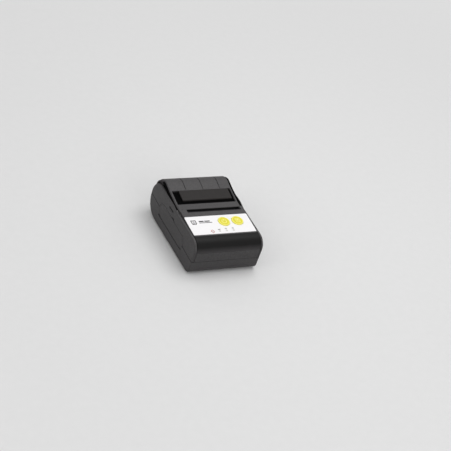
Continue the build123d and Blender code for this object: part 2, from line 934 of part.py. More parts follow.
def platen_bushes():
    """Flanged bushes, held in the cover's arms and dropping into the frame's slots."""
    bushes = []
    spans = [
        (plate_left + 0.1, arm_left, arm_left + plate_thickness),
        (plate_right + plate_thickness - 0.1, arm_right + plate_thickness, arm_right),
    ]
    radius = bush_diameter / 2
    hole = platen_shaft_diameter / 2 + pin_clearance
    bore = rod_x(hole, -half_width, half_width, platen_y, platen_height)
    for outer_x, shoulder_x, inner_x in spans:
        flange = sorted((outer_x, shoulder_x))
        step = sorted((shoulder_x, inner_x))
        big = rod_x(radius, flange[0], flange[1], platen_y, platen_height)
        neck = rod_x(radius - 0.8, step[0], step[1], platen_y, platen_height)
        bushes.append(big + neck - bore)
    return bushes


def gear_tip_radius(teeth):
    """Outer radius of a gear."""
    return gear_module * (teeth / 2 + 0.85)


def gear_wheel(teeth, bore, phase, x0, y, z, hub=0.0):
    """Spur gear with straight-sided teeth thinned for backlash; phase turns the first tooth."""
    pitch_radius = gear_module * teeth / 2
    root = pitch_radius - 1.25 * gear_module
    tip = gear_tip_radius(teeth)
    root_half = 0.25 * math.pi * gear_module * 1.25
    tip_half = 0.25 * math.pi * gear_module * 0.42
    points = []
    step = 2 * math.pi / teeth
    for index in range(teeth):
        centre = phase + index * step
        for radius, half in ((root, -root_half), (tip, -tip_half), (tip, tip_half), (root, root_half)):
            angle = centre + half / radius
            points.append((0, radius * math.cos(angle), radius * math.sin(angle)))
    face = make_face(Polyline(*points, close=True))
    wheel = extrude(face, amount=gear_width, dir=(1, 0, 0))
    if hub:
        wheel += rod_x(hub, -0.15, gear_width + 0.15, 0, 0)
    wheel -= rod_x(bore, -1, gear_width + 1, 0, 0)
    return Pos(x0, y, z) * wheel


def gear_centre(y, z, teeth_a, teeth_b, angle):
    """Centre of a second gear that meshes with one at (y, z), in the direction of the angle."""
    reach = gear_module * (teeth_a + teeth_b) / 2
    turn = math.radians(angle)
    return y + reach * math.cos(turn), z + reach * math.sin(turn)


idler_y, idler_z = gear_centre(platen_y, platen_height, platen_teeth, idler_teeth, idler_angle)
compound_y, compound_z = gear_centre(idler_y, idler_z, idler_teeth, small_teeth, compound_angle)
pinion_y, pinion_z = gear_centre(compound_y, compound_z, large_teeth, pinion_teeth, pinion_angle)


def meshed_phase(phase, teeth_a, teeth_b, angle):
    """Phase of the second gear so that its gap faces a tooth of the first."""
    line = math.radians(angle)
    first = (line - phase) * teeth_a / (2 * math.pi)
    offset = first - math.floor(first)
    back = line + math.pi
    return back - (0.5 - offset) * 2 * math.pi / teeth_b


platen_phase = 0.0
idler_phase = meshed_phase(platen_phase, platen_teeth, idler_teeth, idler_angle)
small_phase = meshed_phase(idler_phase, idler_teeth, small_teeth, compound_angle)
large_phase = 0.0
pinion_phase = meshed_phase(large_phase, large_teeth, pinion_teeth, pinion_angle)


def platen_gear():
    """Gear on the left end of the platen's shaft."""
    return gear_wheel(
        platen_teeth, platen_shaft_diameter / 2, platen_phase, gear_outer_x, platen_y, platen_height
    )


def idler_gear():
    """Gear between the platen's and the compound gear."""
    bore = axle_diameter / 2 + pin_clearance
    return gear_wheel(idler_teeth, bore, idler_phase, gear_outer_x, idler_y, idler_z)


def compound_gear():
    """Large and small gear in one, side by side on one axle."""
    bore = axle_diameter / 2 + pin_clearance
    large = gear_wheel(large_teeth, bore, large_phase, gear_inner_x, compound_y, compound_z)
    small = gear_wheel(small_teeth, bore, small_phase, gear_outer_x, compound_y, compound_z)
    web = rod_x(2.0, gear_outer_x + gear_width - 0.1, gear_inner_x + 0.1, compound_y, compound_z)
    web -= rod_x(bore, gear_outer_x, gear_inner_x + 1, compound_y, compound_z)
    return large + small + web


def motor_pinion():
    """Pinion with the motor's shaft."""
    pinion = gear_wheel(pinion_teeth, 0.75, pinion_phase, gear_inner_x, pinion_y, pinion_z)
    shaft = rod_x(0.75, gear_inner_x - 0.2, motor_inner_x - 2.0, pinion_y, pinion_z)
    return pinion + shaft


def gear_axles():
    """Fixed axles of the idler and the compound gear, pressed into the frame plate."""
    tip = gear_outer_x - 0.4
    seat = plate_left + plate_thickness
    return [
        rod_x(axle_diameter / 2, tip, seat, idler_y, idler_z),
        rod_x(axle_diameter / 2, tip, seat, compound_y, compound_z),
    ]


motor_outer_x = plate_left + plate_thickness
motor_inner_x = motor_outer_x + motor_length


def stepper_motor():
    """Small can motor on the inner face of the left frame plate."""
    can = rod_x(motor_radius, motor_outer_x, motor_inner_x, pinion_y, pinion_z)
    can = fillet(can.edges().sort_by(Axis.X)[-1], 0.6)
    hole = rod_x(0.75 + pin_clearance, motor_outer_x - 1, motor_inner_x - 1.5, pinion_y, pinion_z)
    return can - hole


frame_top = platen_height + 3.8
frame_bottom = pivot_height - 3.0


def frame_plate(x0, low):
    """Side plate of the mechanism with its open slot for the platen's bush."""
    front = bulkhead_y - 1.4 + half_length
    rear = platen_front + bush_diameter / 2 + 2.2
    points = [(front, low), (rear - 1.5, low), (rear, low + 5), (rear, frame_top), (front, frame_top)]
    plate = across(outline_face(points, [0, 2, 2, 1, 1]), x0, x0 + plate_thickness)
    seat = bush_diameter / 2 + 0.1
    plate -= rod_x(seat, x0 - 1, x0 + plate_thickness + 1, platen_y, platen_height)
    rear_lip = platen_y + seat + 0.35
    plate -= block(x0 - 1, x0 + plate_thickness + 1, platen_y - seat, rear_lip, platen_height, 60)
    return plate


def mechanism_frame():
    """Two side plates joined by a bulkhead and a floor, with a motor plate on the left."""
    low = frame_bottom
    body = frame_plate(plate_left, low) + frame_plate(plate_right, low)
    left = plate_left
    right = plate_right + plate_thickness
    wall_top = frame_top - 1.5
    motor_edge = motor_inner_x + 0.8
    body += block(motor_edge, right, bulkhead_y - 1.4, bulkhead_y, low, wall_top)
    body += block(left, right, bulkhead_y + 2.8, platen_y + 4.0, low - 1.2, low)
    body += block(motor_edge, right, bulkhead_y - 1.4, platen_y + 3.0, low - 1.2, low)
    carrier = rod_x(motor_radius + 0.2, left, left + plate_thickness, pinion_y, pinion_z)
    body += carrier
    axle_seat = rod_x(2.6, left, left + plate_thickness, compound_y, compound_z)
    joint = block(
        left, left + plate_thickness, compound_y - 2.0, idler_y + 3.0, compound_z - 2.4, low + 3.0
    )
    body += axle_seat + joint
    idler_seat = rod_x(2.6, left, left + plate_thickness, idler_y, idler_z)
    body += idler_seat
    for y, z in ((idler_y, idler_z), (compound_y, compound_z)):
        body -= rod_x(axle_diameter / 2, left - 1, left + plate_thickness + 1, y, z)
    body -= rod_x(1.3, left - 1, left + plate_thickness + 1, pinion_y, pinion_z)
    pivot_y = (sink_front_y + sink_rear_y) / 2
    body -= rod_x(pivot_diameter / 2, left - 1, right + 1, pivot_y, pivot_height)
    for x, y in leg_screw_places:
        leg_rear = y - 2.4
        body += block(x - 2, x + 2, leg_rear - 3.5, leg_rear, floor_z, low - 1.0)
        body += block(x - 2.4, x + 2.4, leg_rear - 0.5, y + 2.4, floor_z, floor_z + 2)
        body -= rod_z(leg_screw_radius, floor_z - 1, floor_z + 3, x, y)
    for x in spring_places:
        body += rod_y(spring_radius - spring_wire - 0.35, bulkhead_y - 0.5, bulkhead_y + 1.2, x, spring_z)
    return body


leg_screw_radius = 1.0
leg_screw_y = front_to_y(platen_front - 5.2)
leg_screw_places = [(platen_left + 5.0, leg_screw_y), (platen_right - 5.0, leg_screw_y)]


def mechanism_screws():
    """Two screws that hold the mechanism's legs to the floor."""
    screws = []
    top = floor_z + 2
    for x, y in leg_screw_places:
        screws.append(rod_z(leg_screw_radius, floor_z - 1.0, top, x, y) + rod_z(1.9, top, top + 1.2, x, y))
    return screws


spring_z = platen_height + 1.0
spring_places = [platen_left + 20.0, platen_right - 12.0]
sink_top = platen_height + 4.2


def head_heat_sink():
    """Aluminium plate behind the print head, with its pivot eye along the lower edge."""
    left = platen_left + 1.0
    right = platen_right - 0.5
    plate = block(left, right, sink_front_y, sink_rear_y, pivot_height + 1.5, sink_top)
    pivot_y = (sink_front_y + sink_rear_y) / 2
    eye = rod_x(pivot_diameter / 2 + 1.0, left, right, pivot_y, pivot_height)
    neck = block(left, right, sink_front_y + 0.3, sink_rear_y - 0.3, pivot_height, pivot_height + 2)
    bore = rod_x(pivot_diameter / 2 + pin_clearance, left - 1, right + 1, pivot_y, pivot_height)
    return plate + eye + neck - bore


def print_head():
    """Ceramic plate with the raised heating line that faces the platen."""
    left = platen_left + 2.0
    right = platen_right - 2.0
    plate = block(left, right, sink_rear_y, sink_rear_y + head_thickness, platen_height - 4.5, sink_top - 0.3)
    return plate


def head_pivot_shaft():
    """Steel shaft that the head swings on, pressed into both side plates."""
    pivot_y = (sink_front_y + sink_rear_y) / 2
    right = plate_right + plate_thickness
    return rod_x(pivot_diameter / 2, plate_left, right, pivot_y, pivot_height)


def head_springs():
    """Two coil springs between the bulkhead and the heat sink."""
    coils = []
    reach = spring_length - spring_wire - 0.04
    radius = spring_radius - spring_wire / 2
    for x in spring_places:
        path = Helix(reach / spring_turns, reach, radius)
        section = Plane(path @ 0, z_dir=path % 0) * Circle(spring_wire / 2)
        coil = sweep(section, path=path, is_frenet=True)
        lift = spring_wire / 2 + 0.02
        coils.append(Pos(x, bulkhead_y + lift, spring_z) * Rot(-90, 0, 0) * coil)
    return coils


def paper_sensor():
    """Reflective sensor on the frame's floor, looking at the paper."""
    z = frame_bottom
    y = platen_y + 1.0
    base = block(paper_centre_x - 2.2, paper_centre_x + 2.2, y - 1.4, y + 1.4, z, z + 2.0)
    eye = block(paper_centre_x - 1.2, paper_centre_x + 1.2, y - 0.7, y + 0.7, z + 2.0, z + 2.4)
    return base + eye


def paper_bay():
    """Trough for the paper roll, with side walls and feet on the floor."""
    left = arm_left + 0.1
    right = arm_right + plate_thickness
    x0 = left - bay_wall
    x1 = right + bay_wall
    outer_r = roll_radius + bay_wall
    tub = rod_x(outer_r, x0, x1, bay_y, bay_z) - rod_x(roll_radius, left, right, bay_y, bay_z)
    side_top = platen_height + 1.5
    side_front = platen_y + 7.5
    side = block(x0, left, side_front, bay_y + outer_r * 0.8, bay_z - 6, side_top)
    side += block(right, x1, side_front, bay_y + outer_r * 0.8, bay_z - 6, side_top)
    body = tub + side
    body -= block(left, right, side_front - 30, bay_y + 30, bay_z + 2.0, 60)
    body -= block(x0 - 1, x1 + 1, side_front - 60, side_front, 0, 60)
    body -= block(x0 - 1, x1 + 1, 0, half_length, side_top, 80)
    body -= rod_x(barrel_radius + running_gap, x0 - 1, x1 + 1, hinge_y, hinge_height)
    for x, y in screw_places[2:]:
        body += rod_z(boss_radius, boss_split, boss_top, x, y)
        wall_x = x0 + 0.5 if x < 0 else x1 - 0.5
        body += block(min(x, wall_x), max(x, wall_x) + 0.01, y - 1, y + 1, boss_split, boss_top)
        body -= rod_z(boss_radius + 0.2, 0, boss_split, x, y)
        body -= rod_z(screw_diameter / 2, boss_split - 1, boss_top - 1.5, x, y)
    return body


def case_screws():
    """Four screws from below through the lower case."""
    screws = []
    for x, y in screw_places:
        head = rod_z(screw_head_diameter / 2, foot_height + 0.6, foot_height + 2.4, x, y)
        head -= rod_z(0.7, foot_height, foot_height + 1.5, x, y)
        shank = rod_z(screw_diameter / 2, foot_height + 2.2, boss_top - 2.0, x, y)
        screws.append(head + shank)
    return screws


def hinge_pins():
    """Two steel pins pressed into the cheeks."""
    outer = inner_half_width + cheek_thickness * 0.7
    inner = frame_half_width - 2.6
    radius = hinge_pin_diameter / 2
    return [
        rod_x(radius, -outer, -inner, hinge_y, hinge_height),
        rod_x(radius, inner, outer, hinge_y, hinge_height),
    ]


def port_cover():
    """Door over the ports, with its knuckle along the lower edge."""
    plate = across(door_outline(0), door_outer_x, door_inner_x)
    low = block(
        door_outer_x - 1, door_inner_x + 1, -half_length, half_length, 0, door_pin_z
    )
    plate -= low
    for y0 in (door_pin_front - pin_seat, door_pin_rear):
        plate -= block(
            door_outer_x - 1,
            door_inner_x + 1,
            y0 - door_gap,
            y0 + pin_seat + door_gap,
            0,
            door_bottom + door_thickness + door_gap,
        )
    knuckle = rod_y(
        door_thickness / 2, door_pin_front + 0.2, door_pin_rear - 0.2, door_pin_x, door_pin_z
    )
    body = plate + knuckle
    return body - rod_y(
        door_pin_diameter / 2 + pin_clearance, -half_length, half_length, door_pin_x, door_pin_z
    )


def port_cover_pin():
    """Thin pin through the door's knuckle."""
    front = door_pin_front - pin_seat
    rear = door_pin_rear + pin_seat
    return rod_y(door_pin_diameter / 2, front, rear, door_pin_x, door_pin_z)


def release_slider():
    """Tab in the slot of the left cheek."""
    y0 = front_to_y(slider_front) + slider_slack
    y1 = y0 + slider_length
    half = slider_thickness / 2
    tab = block(-half_width, -inner_half_width - 0.1, y0, y1, slider_height - half, slider_height + half)
    for index in (-1, 0, 1):
        y = (y0 + y1) / 2 + index * 1.6
        groove = block(-half_width - 1, -half_width + 0.4, y - 0.4, y + 0.4, 0, cheek_height)
        tab -= groove
    return tab


def main_board():
    """Main circuit board, lying on the battery rails."""
    y0 = front_to_y(board_front)
    y1 = front_to_y(board_rear)
    board = block(-board_half_width, board_half_width, y0, y1, board_height, board_height + board_thickness)
    ear = block(
        port_inner_x - 7.5,
        -board_half_width + 1,
        front_to_y(jack_front) - jack_width / 2 - 1,
        y1,
        board_height,
        board_height + board_thickness,
    )
    board += ear
    for x, y in board_screw_places:
        board -= rod_z(board_screw_radius + 0.1, board_height - 1, board_height + 3, x, y)
    return board


port_inner_x = -inner_half_width + 8.0
rail_width = 2.4
rail_x = battery_width / 2 + 1.9
board_screw_radius = 0.8
board_screw_places = [
    (-rail_x, front_to_y(9.5)),
    (rail_x, front_to_y(9.5)),
    (rail_x, front_to_y(36.0)),
]


def board_screws():
    """Small screws that hold the board to the rails' posts."""
    screws = []
    top = board_height + board_thickness
    for x, y in board_screw_places:
        shank = rod_z(board_screw_radius, board_height - 4.0, top, x, y)
        screws.append(shank + rod_z(1.6, top, top + 1.1, x, y))
    return screws


def usb_socket():
    """Metal shelled socket at the board's left edge."""
    y = front_to_y(usb_front)
    x0 = -inner_half_width
    z = port_sill
    shell = block(x0, x0 + 6.5, y - usb_width / 2, y + usb_width / 2, z, z + usb_height)
    half = usb_width / 2 - 0.4
    cavity = block(x0 - 1, x0 + 5.5, y - half, y + half, z + 0.4, z + usb_height - 0.4)
    tongue = block(x0 + 0.6, x0 + 6, y - 1.8, y + 1.8, z + 1.1, z + 1.6)
    foot = block(x0 + 1, x0 + 6, y - 2, y + 2, board_height + board_thickness, z)
    return shell - cavity + tongue + foot


def dc_jack():
    """Charging jack with its bore and centre pin."""
    y = front_to_y(jack_front)
    x0 = -inner_half_width
    z0 = board_height + board_thickness
    zc = port_sill + jack_height / 2
    body = block(x0, x0 + 8, y - jack_width / 2, y + jack_width / 2, z0, port_sill + jack_height)
    body -= rod_x(jack_bore / 2, x0 - 1, x0 + 7, y, zc)
    return body + rod_x(0.9, x0 + 0.6, x0 + 7.5, y, zc)


def radio_module():
    """Radio module with its shield, on the main board."""
    z = board_height + board_thickness
    y = front_to_y(18.0)
    base = block(8, 24, y - 6, y + 6, z, z + 0.8)
    return base + block(8.8, 20, y - 5.2, y + 5.2, z + 0.8, z + 2.4)


def board_chips():
    """Controller, motor driver and memory on the main board."""
    z = board_height + board_thickness
    places = [(-6, 16.0, 5.0, 1.4), (-19, 14.0, 3.0, 1.2), (-4, 30.0, 3.5, 1.2), (12, 33.0, 2.5, 1.0)]
    return [block(x - s, x + s, front_to_y(d) - s, front_to_y(d) + s, z, z + h) for x, d, s, h in places]


def capacitors():
    """Two can capacitors and a small coil on the main board."""
    z = board_height + board_thickness
    cans = [rod_z(2.5, z, z + 6.0, x, front_to_y(d)) for x, d in ((3.5, 11.5), (-13.5, 9.0))]
    coil = block(-13, -8, front_to_y(34) - 2.5, front_to_y(34) + 2.5, z, z + 3.0)
    return [fillet(can.edges().group_by(Axis.Z)[-1], 0.5) for can in cans] + [coil]


def buzzer():
    """Round buzzer on the main board."""
    z = board_height + board_thickness
    y = front_to_y(28.5)
    body = rod_z(4.5, z, z + 4.0, 5.0, y)
    return body - rod_z(0.8, z + 3.0, z + 5.0, 5.0, y)


def battery_pack():
    """Flat rechargeable pack under the main board."""
    y0 = front_to_y(battery_front)
    half = battery_width / 2
    low = foot_height + wall * 0.6 + 0.3
    pack = block(-half, half, y0, y0 + battery_length, low, low + battery_height)
    return fillet(pack.edges().filter_by(Axis.Y), 2.0)


def battery_contacts():
    """Contact block behind the battery, standing on the floor."""
    y0 = front_to_y(battery_front + battery_length) + 0.6
    return block(-8, 8, y0, y0 + 2.5, floor_z, floor_z + 8)


def key_board():
    """Small board under the control panel, parallel to it."""
    board = Box(key_board_width, overlay_rear - overlay_front - 1.0, key_board_thickness)
    middle = (overlay_front + overlay_rear) / 2 - 0.5
    return on_panel(board, power_button_x - 0.4, middle, -key_board_drop - key_board_thickness / 2)


def tact_switches():
    """One switch with its plunger under each button."""
    base = Pos(0, 0, switch_height / 2 - key_board_drop) * Box(5, 5, switch_height)
    plunger = Pos(0, 0, switch_top - switch_plunger / 2 - 0.1) * Cylinder(1.2, switch_plunger + 0.2)
    return [on_panel(base + plunger, x, button_front, 0) for x in button_places]


def indicator_lamps():
    """Four lamps under the lenses."""
    lamp = Pos(0, 0, -key_board_drop + 0.5) * Box(2.0, 1.4, 1.0)
    return [on_panel(lamp, x, lens_front, 0) for x in lens_places]


NODES = {
    "upper_case": upper_case,
    "lower_case": lower_case,
    "rubber_feet": rubber_feet,
    "battery_cover": battery_cover,
    "front_cover": front_cover,
    "front_trim": front_trim,
    "tear_bar": tear_bar,
    "control_panel_overlay": control_panel_overlay,
    "power_button": lambda: push_button(button_places[0]),
    "feed_button": lambda: push_button(button_places[1]),
    "indicator_lenses": indicator_lenses,
    "paper_cover_shell": paper_cover_shell,
    "cover_inner_frame": cover_inner_frame,
    "cover_window": cover_window,
    "platen_roller": platen_roller,
    "platen_shaft": platen_shaft,
    "platen_bushes": platen_bushes,
    "platen_gear": platen_gear,
    "idler_gear": idler_gear,
    "compound_gear": compound_gear,
    "motor_pinion": motor_pinion,
    "gear_axles": gear_axles,
    "stepper_motor": stepper_motor,
    "mechanism_frame": mechanism_frame,
    "head_heat_sink": head_heat_sink,
    "print_head": print_head,
    "mechanism_screws": mechanism_screws,
    "head_pivot_shaft": head_pivot_shaft,
    "head_springs": head_springs,
    "paper_sensor": paper_sensor,
    "paper_bay": paper_bay,
    "case_screws": case_screws,
    "hinge_pins": hinge_pins,
    "port_cover": port_cover,
    "port_cover_pin": port_cover_pin,
    "release_slider": release_slider,
    "main_board": main_board,
    "board_screws": board_screws,
    "usb_socket": usb_socket,
    "dc_jack": dc_jack,
    "radio_module": radio_module,
    "board_chips": board_chips,
    "capacitors": capacitors,
    "buzzer": buzzer,
    "battery_pack": battery_pack,
    "battery_contacts": battery_contacts,
    "key_board": key_board,
    "tact_switches": tact_switches,
    "indicator_lamps": indicator_lamps,
}


def main():
    """Write one STEP file for each named piece."""
    os.makedirs("parts", exist_ok=True)
    for name, build in NODES.items():
        shape = build()
        pieces = shape if isinstance(shape, list) else [shape]
        solids = [solid for piece in pieces for solid in piece.solids()]
        export_step(Compound(children=solids), f"parts/{name}.step")


main()
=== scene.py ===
# %% [markdown]
# A pocket receipt printer for narrow thermal paper. Its solids come from the CAD frame: case halves,
# front cover, paper cover, keys, gears and print head. This script gives each of them the finish of
# the real material, adds the fine pieces that are printed or moulded on, and lights the scene.
# Everything is in metres, and the printer stands on its rubber feet at height zero.

# %% Load the frame
import math

import bmesh
import bpy
from mathutils import Matrix, Vector


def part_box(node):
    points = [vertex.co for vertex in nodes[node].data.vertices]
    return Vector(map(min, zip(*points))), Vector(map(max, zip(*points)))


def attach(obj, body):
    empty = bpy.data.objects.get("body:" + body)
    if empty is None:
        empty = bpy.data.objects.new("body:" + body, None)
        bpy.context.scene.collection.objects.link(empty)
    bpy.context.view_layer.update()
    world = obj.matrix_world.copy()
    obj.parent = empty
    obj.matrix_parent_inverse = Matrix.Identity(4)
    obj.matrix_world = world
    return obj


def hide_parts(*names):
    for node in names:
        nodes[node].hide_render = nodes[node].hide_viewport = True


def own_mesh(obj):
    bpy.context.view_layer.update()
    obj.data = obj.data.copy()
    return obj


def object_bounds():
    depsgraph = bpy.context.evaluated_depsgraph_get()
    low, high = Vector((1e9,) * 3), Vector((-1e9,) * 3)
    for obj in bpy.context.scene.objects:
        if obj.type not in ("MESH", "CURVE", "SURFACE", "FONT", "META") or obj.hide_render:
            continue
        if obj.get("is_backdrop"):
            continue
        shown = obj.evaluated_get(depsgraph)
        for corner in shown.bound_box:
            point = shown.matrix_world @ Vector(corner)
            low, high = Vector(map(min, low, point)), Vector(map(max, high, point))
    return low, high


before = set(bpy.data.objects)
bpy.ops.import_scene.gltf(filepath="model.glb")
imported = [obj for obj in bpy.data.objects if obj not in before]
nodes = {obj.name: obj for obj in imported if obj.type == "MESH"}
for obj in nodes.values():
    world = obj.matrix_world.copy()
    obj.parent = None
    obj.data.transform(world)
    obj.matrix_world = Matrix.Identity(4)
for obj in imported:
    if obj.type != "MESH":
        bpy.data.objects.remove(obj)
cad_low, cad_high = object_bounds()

MM = 0.001
print("CAD nodes:", len(nodes))

# %% [markdown]
# The camera stands in front of the printer's left corner and looks down at it from a good distance,
# so the edges stay almost parallel. Its directions come from a fit of the case's corners in the
# picture: right and up of the picture, written in the printer's own axes.

# %% Camera
PICTURE_PIXELS = 451
PIXELS_PER_MM = 0.967
CAMERA_DISTANCE = 1500.0
SENSOR = 36.0
origin_pixel = (200.2, 238.6)
camera_right = Vector((0.8707, -0.4132, 0.2684)).normalized()
camera_up = Vector((0.0600, 0.6297, 0.7752))
camera_back = camera_right.cross(camera_up).normalized()
camera_up = camera_back.cross(camera_right)

half_picture = PICTURE_PIXELS / 2
aim = camera_right * (half_picture - origin_pixel[0]) / PIXELS_PER_MM
aim += camera_up * (origin_pixel[1] - half_picture) / PIXELS_PER_MM
camera_data = bpy.data.cameras.new("camera")
camera_data.sensor_width = SENSOR
camera_data.lens = SENSOR * CAMERA_DISTANCE / (PICTURE_PIXELS / PIXELS_PER_MM)
camera_data.clip_start = 0.05
camera_data.clip_end = 20.0
camera = bpy.data.objects.new("camera", camera_data)
turn = Matrix((camera_right, camera_up, camera_back)).transposed().to_4x4()
camera.matrix_world = Matrix.Translation((aim + camera_back * CAMERA_DISTANCE) * MM) @ turn
bpy.context.scene.collection.objects.link(camera)
bpy.context.scene.camera = camera
print("lens", round(camera_data.lens, 1), "mm")

# %% [markdown]
# Every finish is a small node tree. One helper turns the hex colours that a paint chart gives into
# the linear values that the renderer works with, and one adds a node with its settings, values and
# links. Three more open a material, close it and give it to CAD nodes.

# %% Helpers for materials


def linear(code):
    """Linear colour, with full opacity, from an sRGB hex code."""
    channels = [int(code[start:start + 2], 16) / 255 for start in (1, 3, 5)]
    return [c / 12.92 if c <= 0.04045 else ((c + 0.055) / 1.055) ** 2.4 for c in channels] + [1.0]


def add(tree, kind, values=None, links=None, **settings):
    """Adds one node with its settings, its input values and the links into it."""
    new = tree.nodes.new(kind)
    for name, value in settings.items():
        setattr(new, name, value)
    for socket, value in (values or {}).items():
        new.inputs[socket].default_value = value
    for socket, source in (links or {}).items():
        tree.links.new(source, new.inputs[socket])
    return new


def open_material(name):
    """Empty material, its node tree and the object's own coordinates in metres."""
    material = bpy.data.materials.new(name)
    material.use_nodes = True
    tree = material.node_tree
    tree.nodes.clear()
    place = add(tree, "ShaderNodeTexCoord").outputs["Object"]
    return material, tree, place


def close_material(tree, shader):
    """Links the finished shader to the material's output."""
    add(tree, "ShaderNodeOutputMaterial", links={"Surface": shader.outputs[0]})


def paint(material, *names):
    """Gives a material to CAD nodes by name."""
    for name in names:
        for holder in nodes[name].material_slots:
            holder.material = material
    print(material.name, "on", ", ".join(names))


print("mid grey in linear values", round(linear("#808080")[0], 3))

# %% [markdown]
# The case is moulded ABS from a spark-eroded tool: a fine sandy grain that scatters highlights,
# and a colour that is even but never perfectly flat. The grain is about 0.15 mm on the real case.
# It is drawn three times as coarse here, with a speckle of 1.3 mm in its colour, so that it shows
# in a picture this size. One recipe serves the case, the slider and the black mechanism frame, and
# further down the chips and the battery's sleeve.

# %% Moulded ABS


def moulded_abs(name, light, dark, roughness, grain_mm, grain_depth_mm, cloud_mm=9.0, shine=0.5):
    """ABS from a textured tool, between two close shades."""
    material, tree, place = open_material(name)
    cloud = add(tree, "ShaderNodeTexNoise", {"Scale": 1 / (cloud_mm * MM), "Detail": 3.0}, {"Vector": place})
    shade = add(tree, "ShaderNodeValToRGB", links={"Fac": cloud.outputs["Fac"]})
    shade.color_ramp.elements[0].position = 0.35
    shade.color_ramp.elements[0].color = linear(dark)
    shade.color_ramp.elements[1].position = 0.65
    shade.color_ramp.elements[1].color = linear(light)
    grain = add(tree, "ShaderNodeTexNoise", {"Scale": 1 / (grain_mm * MM), "Detail": 2.0}, {"Vector": place})
    gloss = add(tree, "ShaderNodeMapRange", {"To Min": roughness - 0.06, "To Max": roughness + 0.08},
                {"Value": grain.outputs["Fac"]})
    bump = add(tree, "ShaderNodeBump", {"Strength": 0.35, "Distance": grain_depth_mm * MM},
               {"Height": grain.outputs["Fac"]})
    shader = add(tree, "ShaderNodeBsdfPrincipled", {"IOR": 1.53, "Specular IOR Level": shine},
                 {"Base Color": shade.outputs["Color"], "Roughness": gloss.outputs["Result"],
                  "Normal": bump.outputs["Normal"]})
    close_material(tree, shader)
    return material


case_abs = moulded_abs("charcoal_textured_abs", "#3F3D3E", "#333132", roughness=0.55, grain_mm=0.45,
                       grain_depth_mm=0.05, cloud_mm=1.3, shine=0.45)
trim_abs = moulded_abs("dark_satin_abs", "#141313", "#100F0F", roughness=0.45, grain_mm=0.3,
                       grain_depth_mm=0.012, shine=0.12)
frame_abs = moulded_abs("black_abs", "#0E0E0E", "#0A0A0A", roughness=0.6, grain_mm=0.3,
                        grain_depth_mm=0.015, shine=0.2)
paint(case_abs, "upper_case", "lower_case", "front_cover", "paper_cover_shell", "battery_cover",
      "port_cover")
paint(trim_abs, "release_slider")
paint(frame_abs, "mechanism_frame", "paper_bay")

# %% [markdown]
# The strip round the front top corner is satin ABS in charcoal with painted shade on it: its dark
# band stands for the shade and the dark reflection on the rounded front. Over the lowest six and a
# half millimetres the painted shade thins out to the charcoal of the cover below. Height drives that
# fade, and a little cloud noise keeps its edge from being ruled. One shallow grain serves this strip
# and the painted frame that comes next.

# %% Front strip with painted shade
PAINT_GRAIN = 0.3
PAINT_GRAIN_DEPTH = 0.015


def painted_abs(tree, place, shade, roughness, shine):
    """Closes a material with a given colour, painted shade included, over the shallow grain."""
    grain = add(tree, "ShaderNodeTexNoise", {"Scale": 1 / (PAINT_GRAIN * MM), "Detail": 2.0},
                {"Vector": place})
    bump = add(tree, "ShaderNodeBump", {"Strength": 0.35, "Distance": PAINT_GRAIN_DEPTH * MM},
               {"Height": grain.outputs["Fac"]})
    values = {"IOR": 1.53, "Roughness": roughness, "Specular IOR Level": shine}
    shader = add(tree, "ShaderNodeBsdfPrincipled", values,
                 {"Base Color": shade.outputs["Color"], "Normal": bump.outputs["Normal"]})
    close_material(tree, shader)


STRIP_LOW = 27.5
STRIP_FULL_SHADE = 34.0
SHADE_CLOUD = 6.0
CLOUD_SHARE = 0.12
# Painted shade: dark high on the strip, fading to charcoal low down, for the shade on the rounded front.
front_strip_painted_shade_abs, tree, place = open_material("satin_abs_painted_shade")
height = add(tree, "ShaderNodeSeparateXYZ", links={"Vector": place})
shade_fade = add(tree, "ShaderNodeMapRange", {"From Min": STRIP_LOW * MM, "From Max": STRIP_FULL_SHADE * MM},
           {"Value": height.outputs["Z"]})
cloud = add(tree, "ShaderNodeTexNoise", {"Scale": 1 / (SHADE_CLOUD * MM), "Detail": 3.0}, {"Vector": place})
cover = add(tree, "ShaderNodeMath", {1: CLOUD_SHARE}, {0: cloud.outputs["Fac"], 2: shade_fade.outputs["Result"]},
            operation="MULTIPLY_ADD")
shade = add(tree, "ShaderNodeValToRGB", links={"Fac": cover.outputs[0]})
shade.color_ramp.elements[0].position = 0.04
shade.color_ramp.elements[0].color = linear("#464445")
shade.color_ramp.elements[1].position = 0.95
shade.color_ramp.elements[1].color = linear("#0E0D0D")
painted_abs(tree, place, shade, roughness=0.47, shine=0.15)
paint(front_strip_painted_shade_abs, "front_trim")

# %% [markdown]
# The inner frame of the paper cover is black ABS, painted near black and almost without shine, so
# that it also stands for the shade in the deep gaps beside the charcoal shell: partly its own colour,
# partly painted shade. Towards the rear it lies open beside the dome and is painted charcoal to match.
# A short step along the printer, measured from its middle, turns one paint into the other.

# %% Inner frame paint
BLACK_TO = 39.5
CHARCOAL_FROM = 41.5
cover_frame_painted_shade_abs, tree, place = open_material("two_tone_cover_abs_painted_shade")
along = add(tree, "ShaderNodeSeparateXYZ", links={"Vector": place})
behind = add(tree, "ShaderNodeMapRange", {"From Min": BLACK_TO * MM, "From Max": CHARCOAL_FROM * MM},
             {"Value": along.outputs["Y"]})
shade = add(tree, "ShaderNodeValToRGB", links={"Fac": behind.outputs["Result"]})
# Near black with almost no shine: painted shade for the gaps beside the shell.
shade.color_ramp.elements[0].color = linear("#040404")
shade.color_ramp.elements[1].color = linear("#454344")
painted_abs(tree, place, shade, roughness=0.8, shine=0.03)
paint(cover_frame_painted_shade_abs, "cover_inner_frame")

# %% [markdown]
# The window over the roll is smoked polycarbonate. It is so dark that it reads as grey plastic, and
# a fine frost keeps its shine low, with only a soft orange-peel ripple in its reflections.

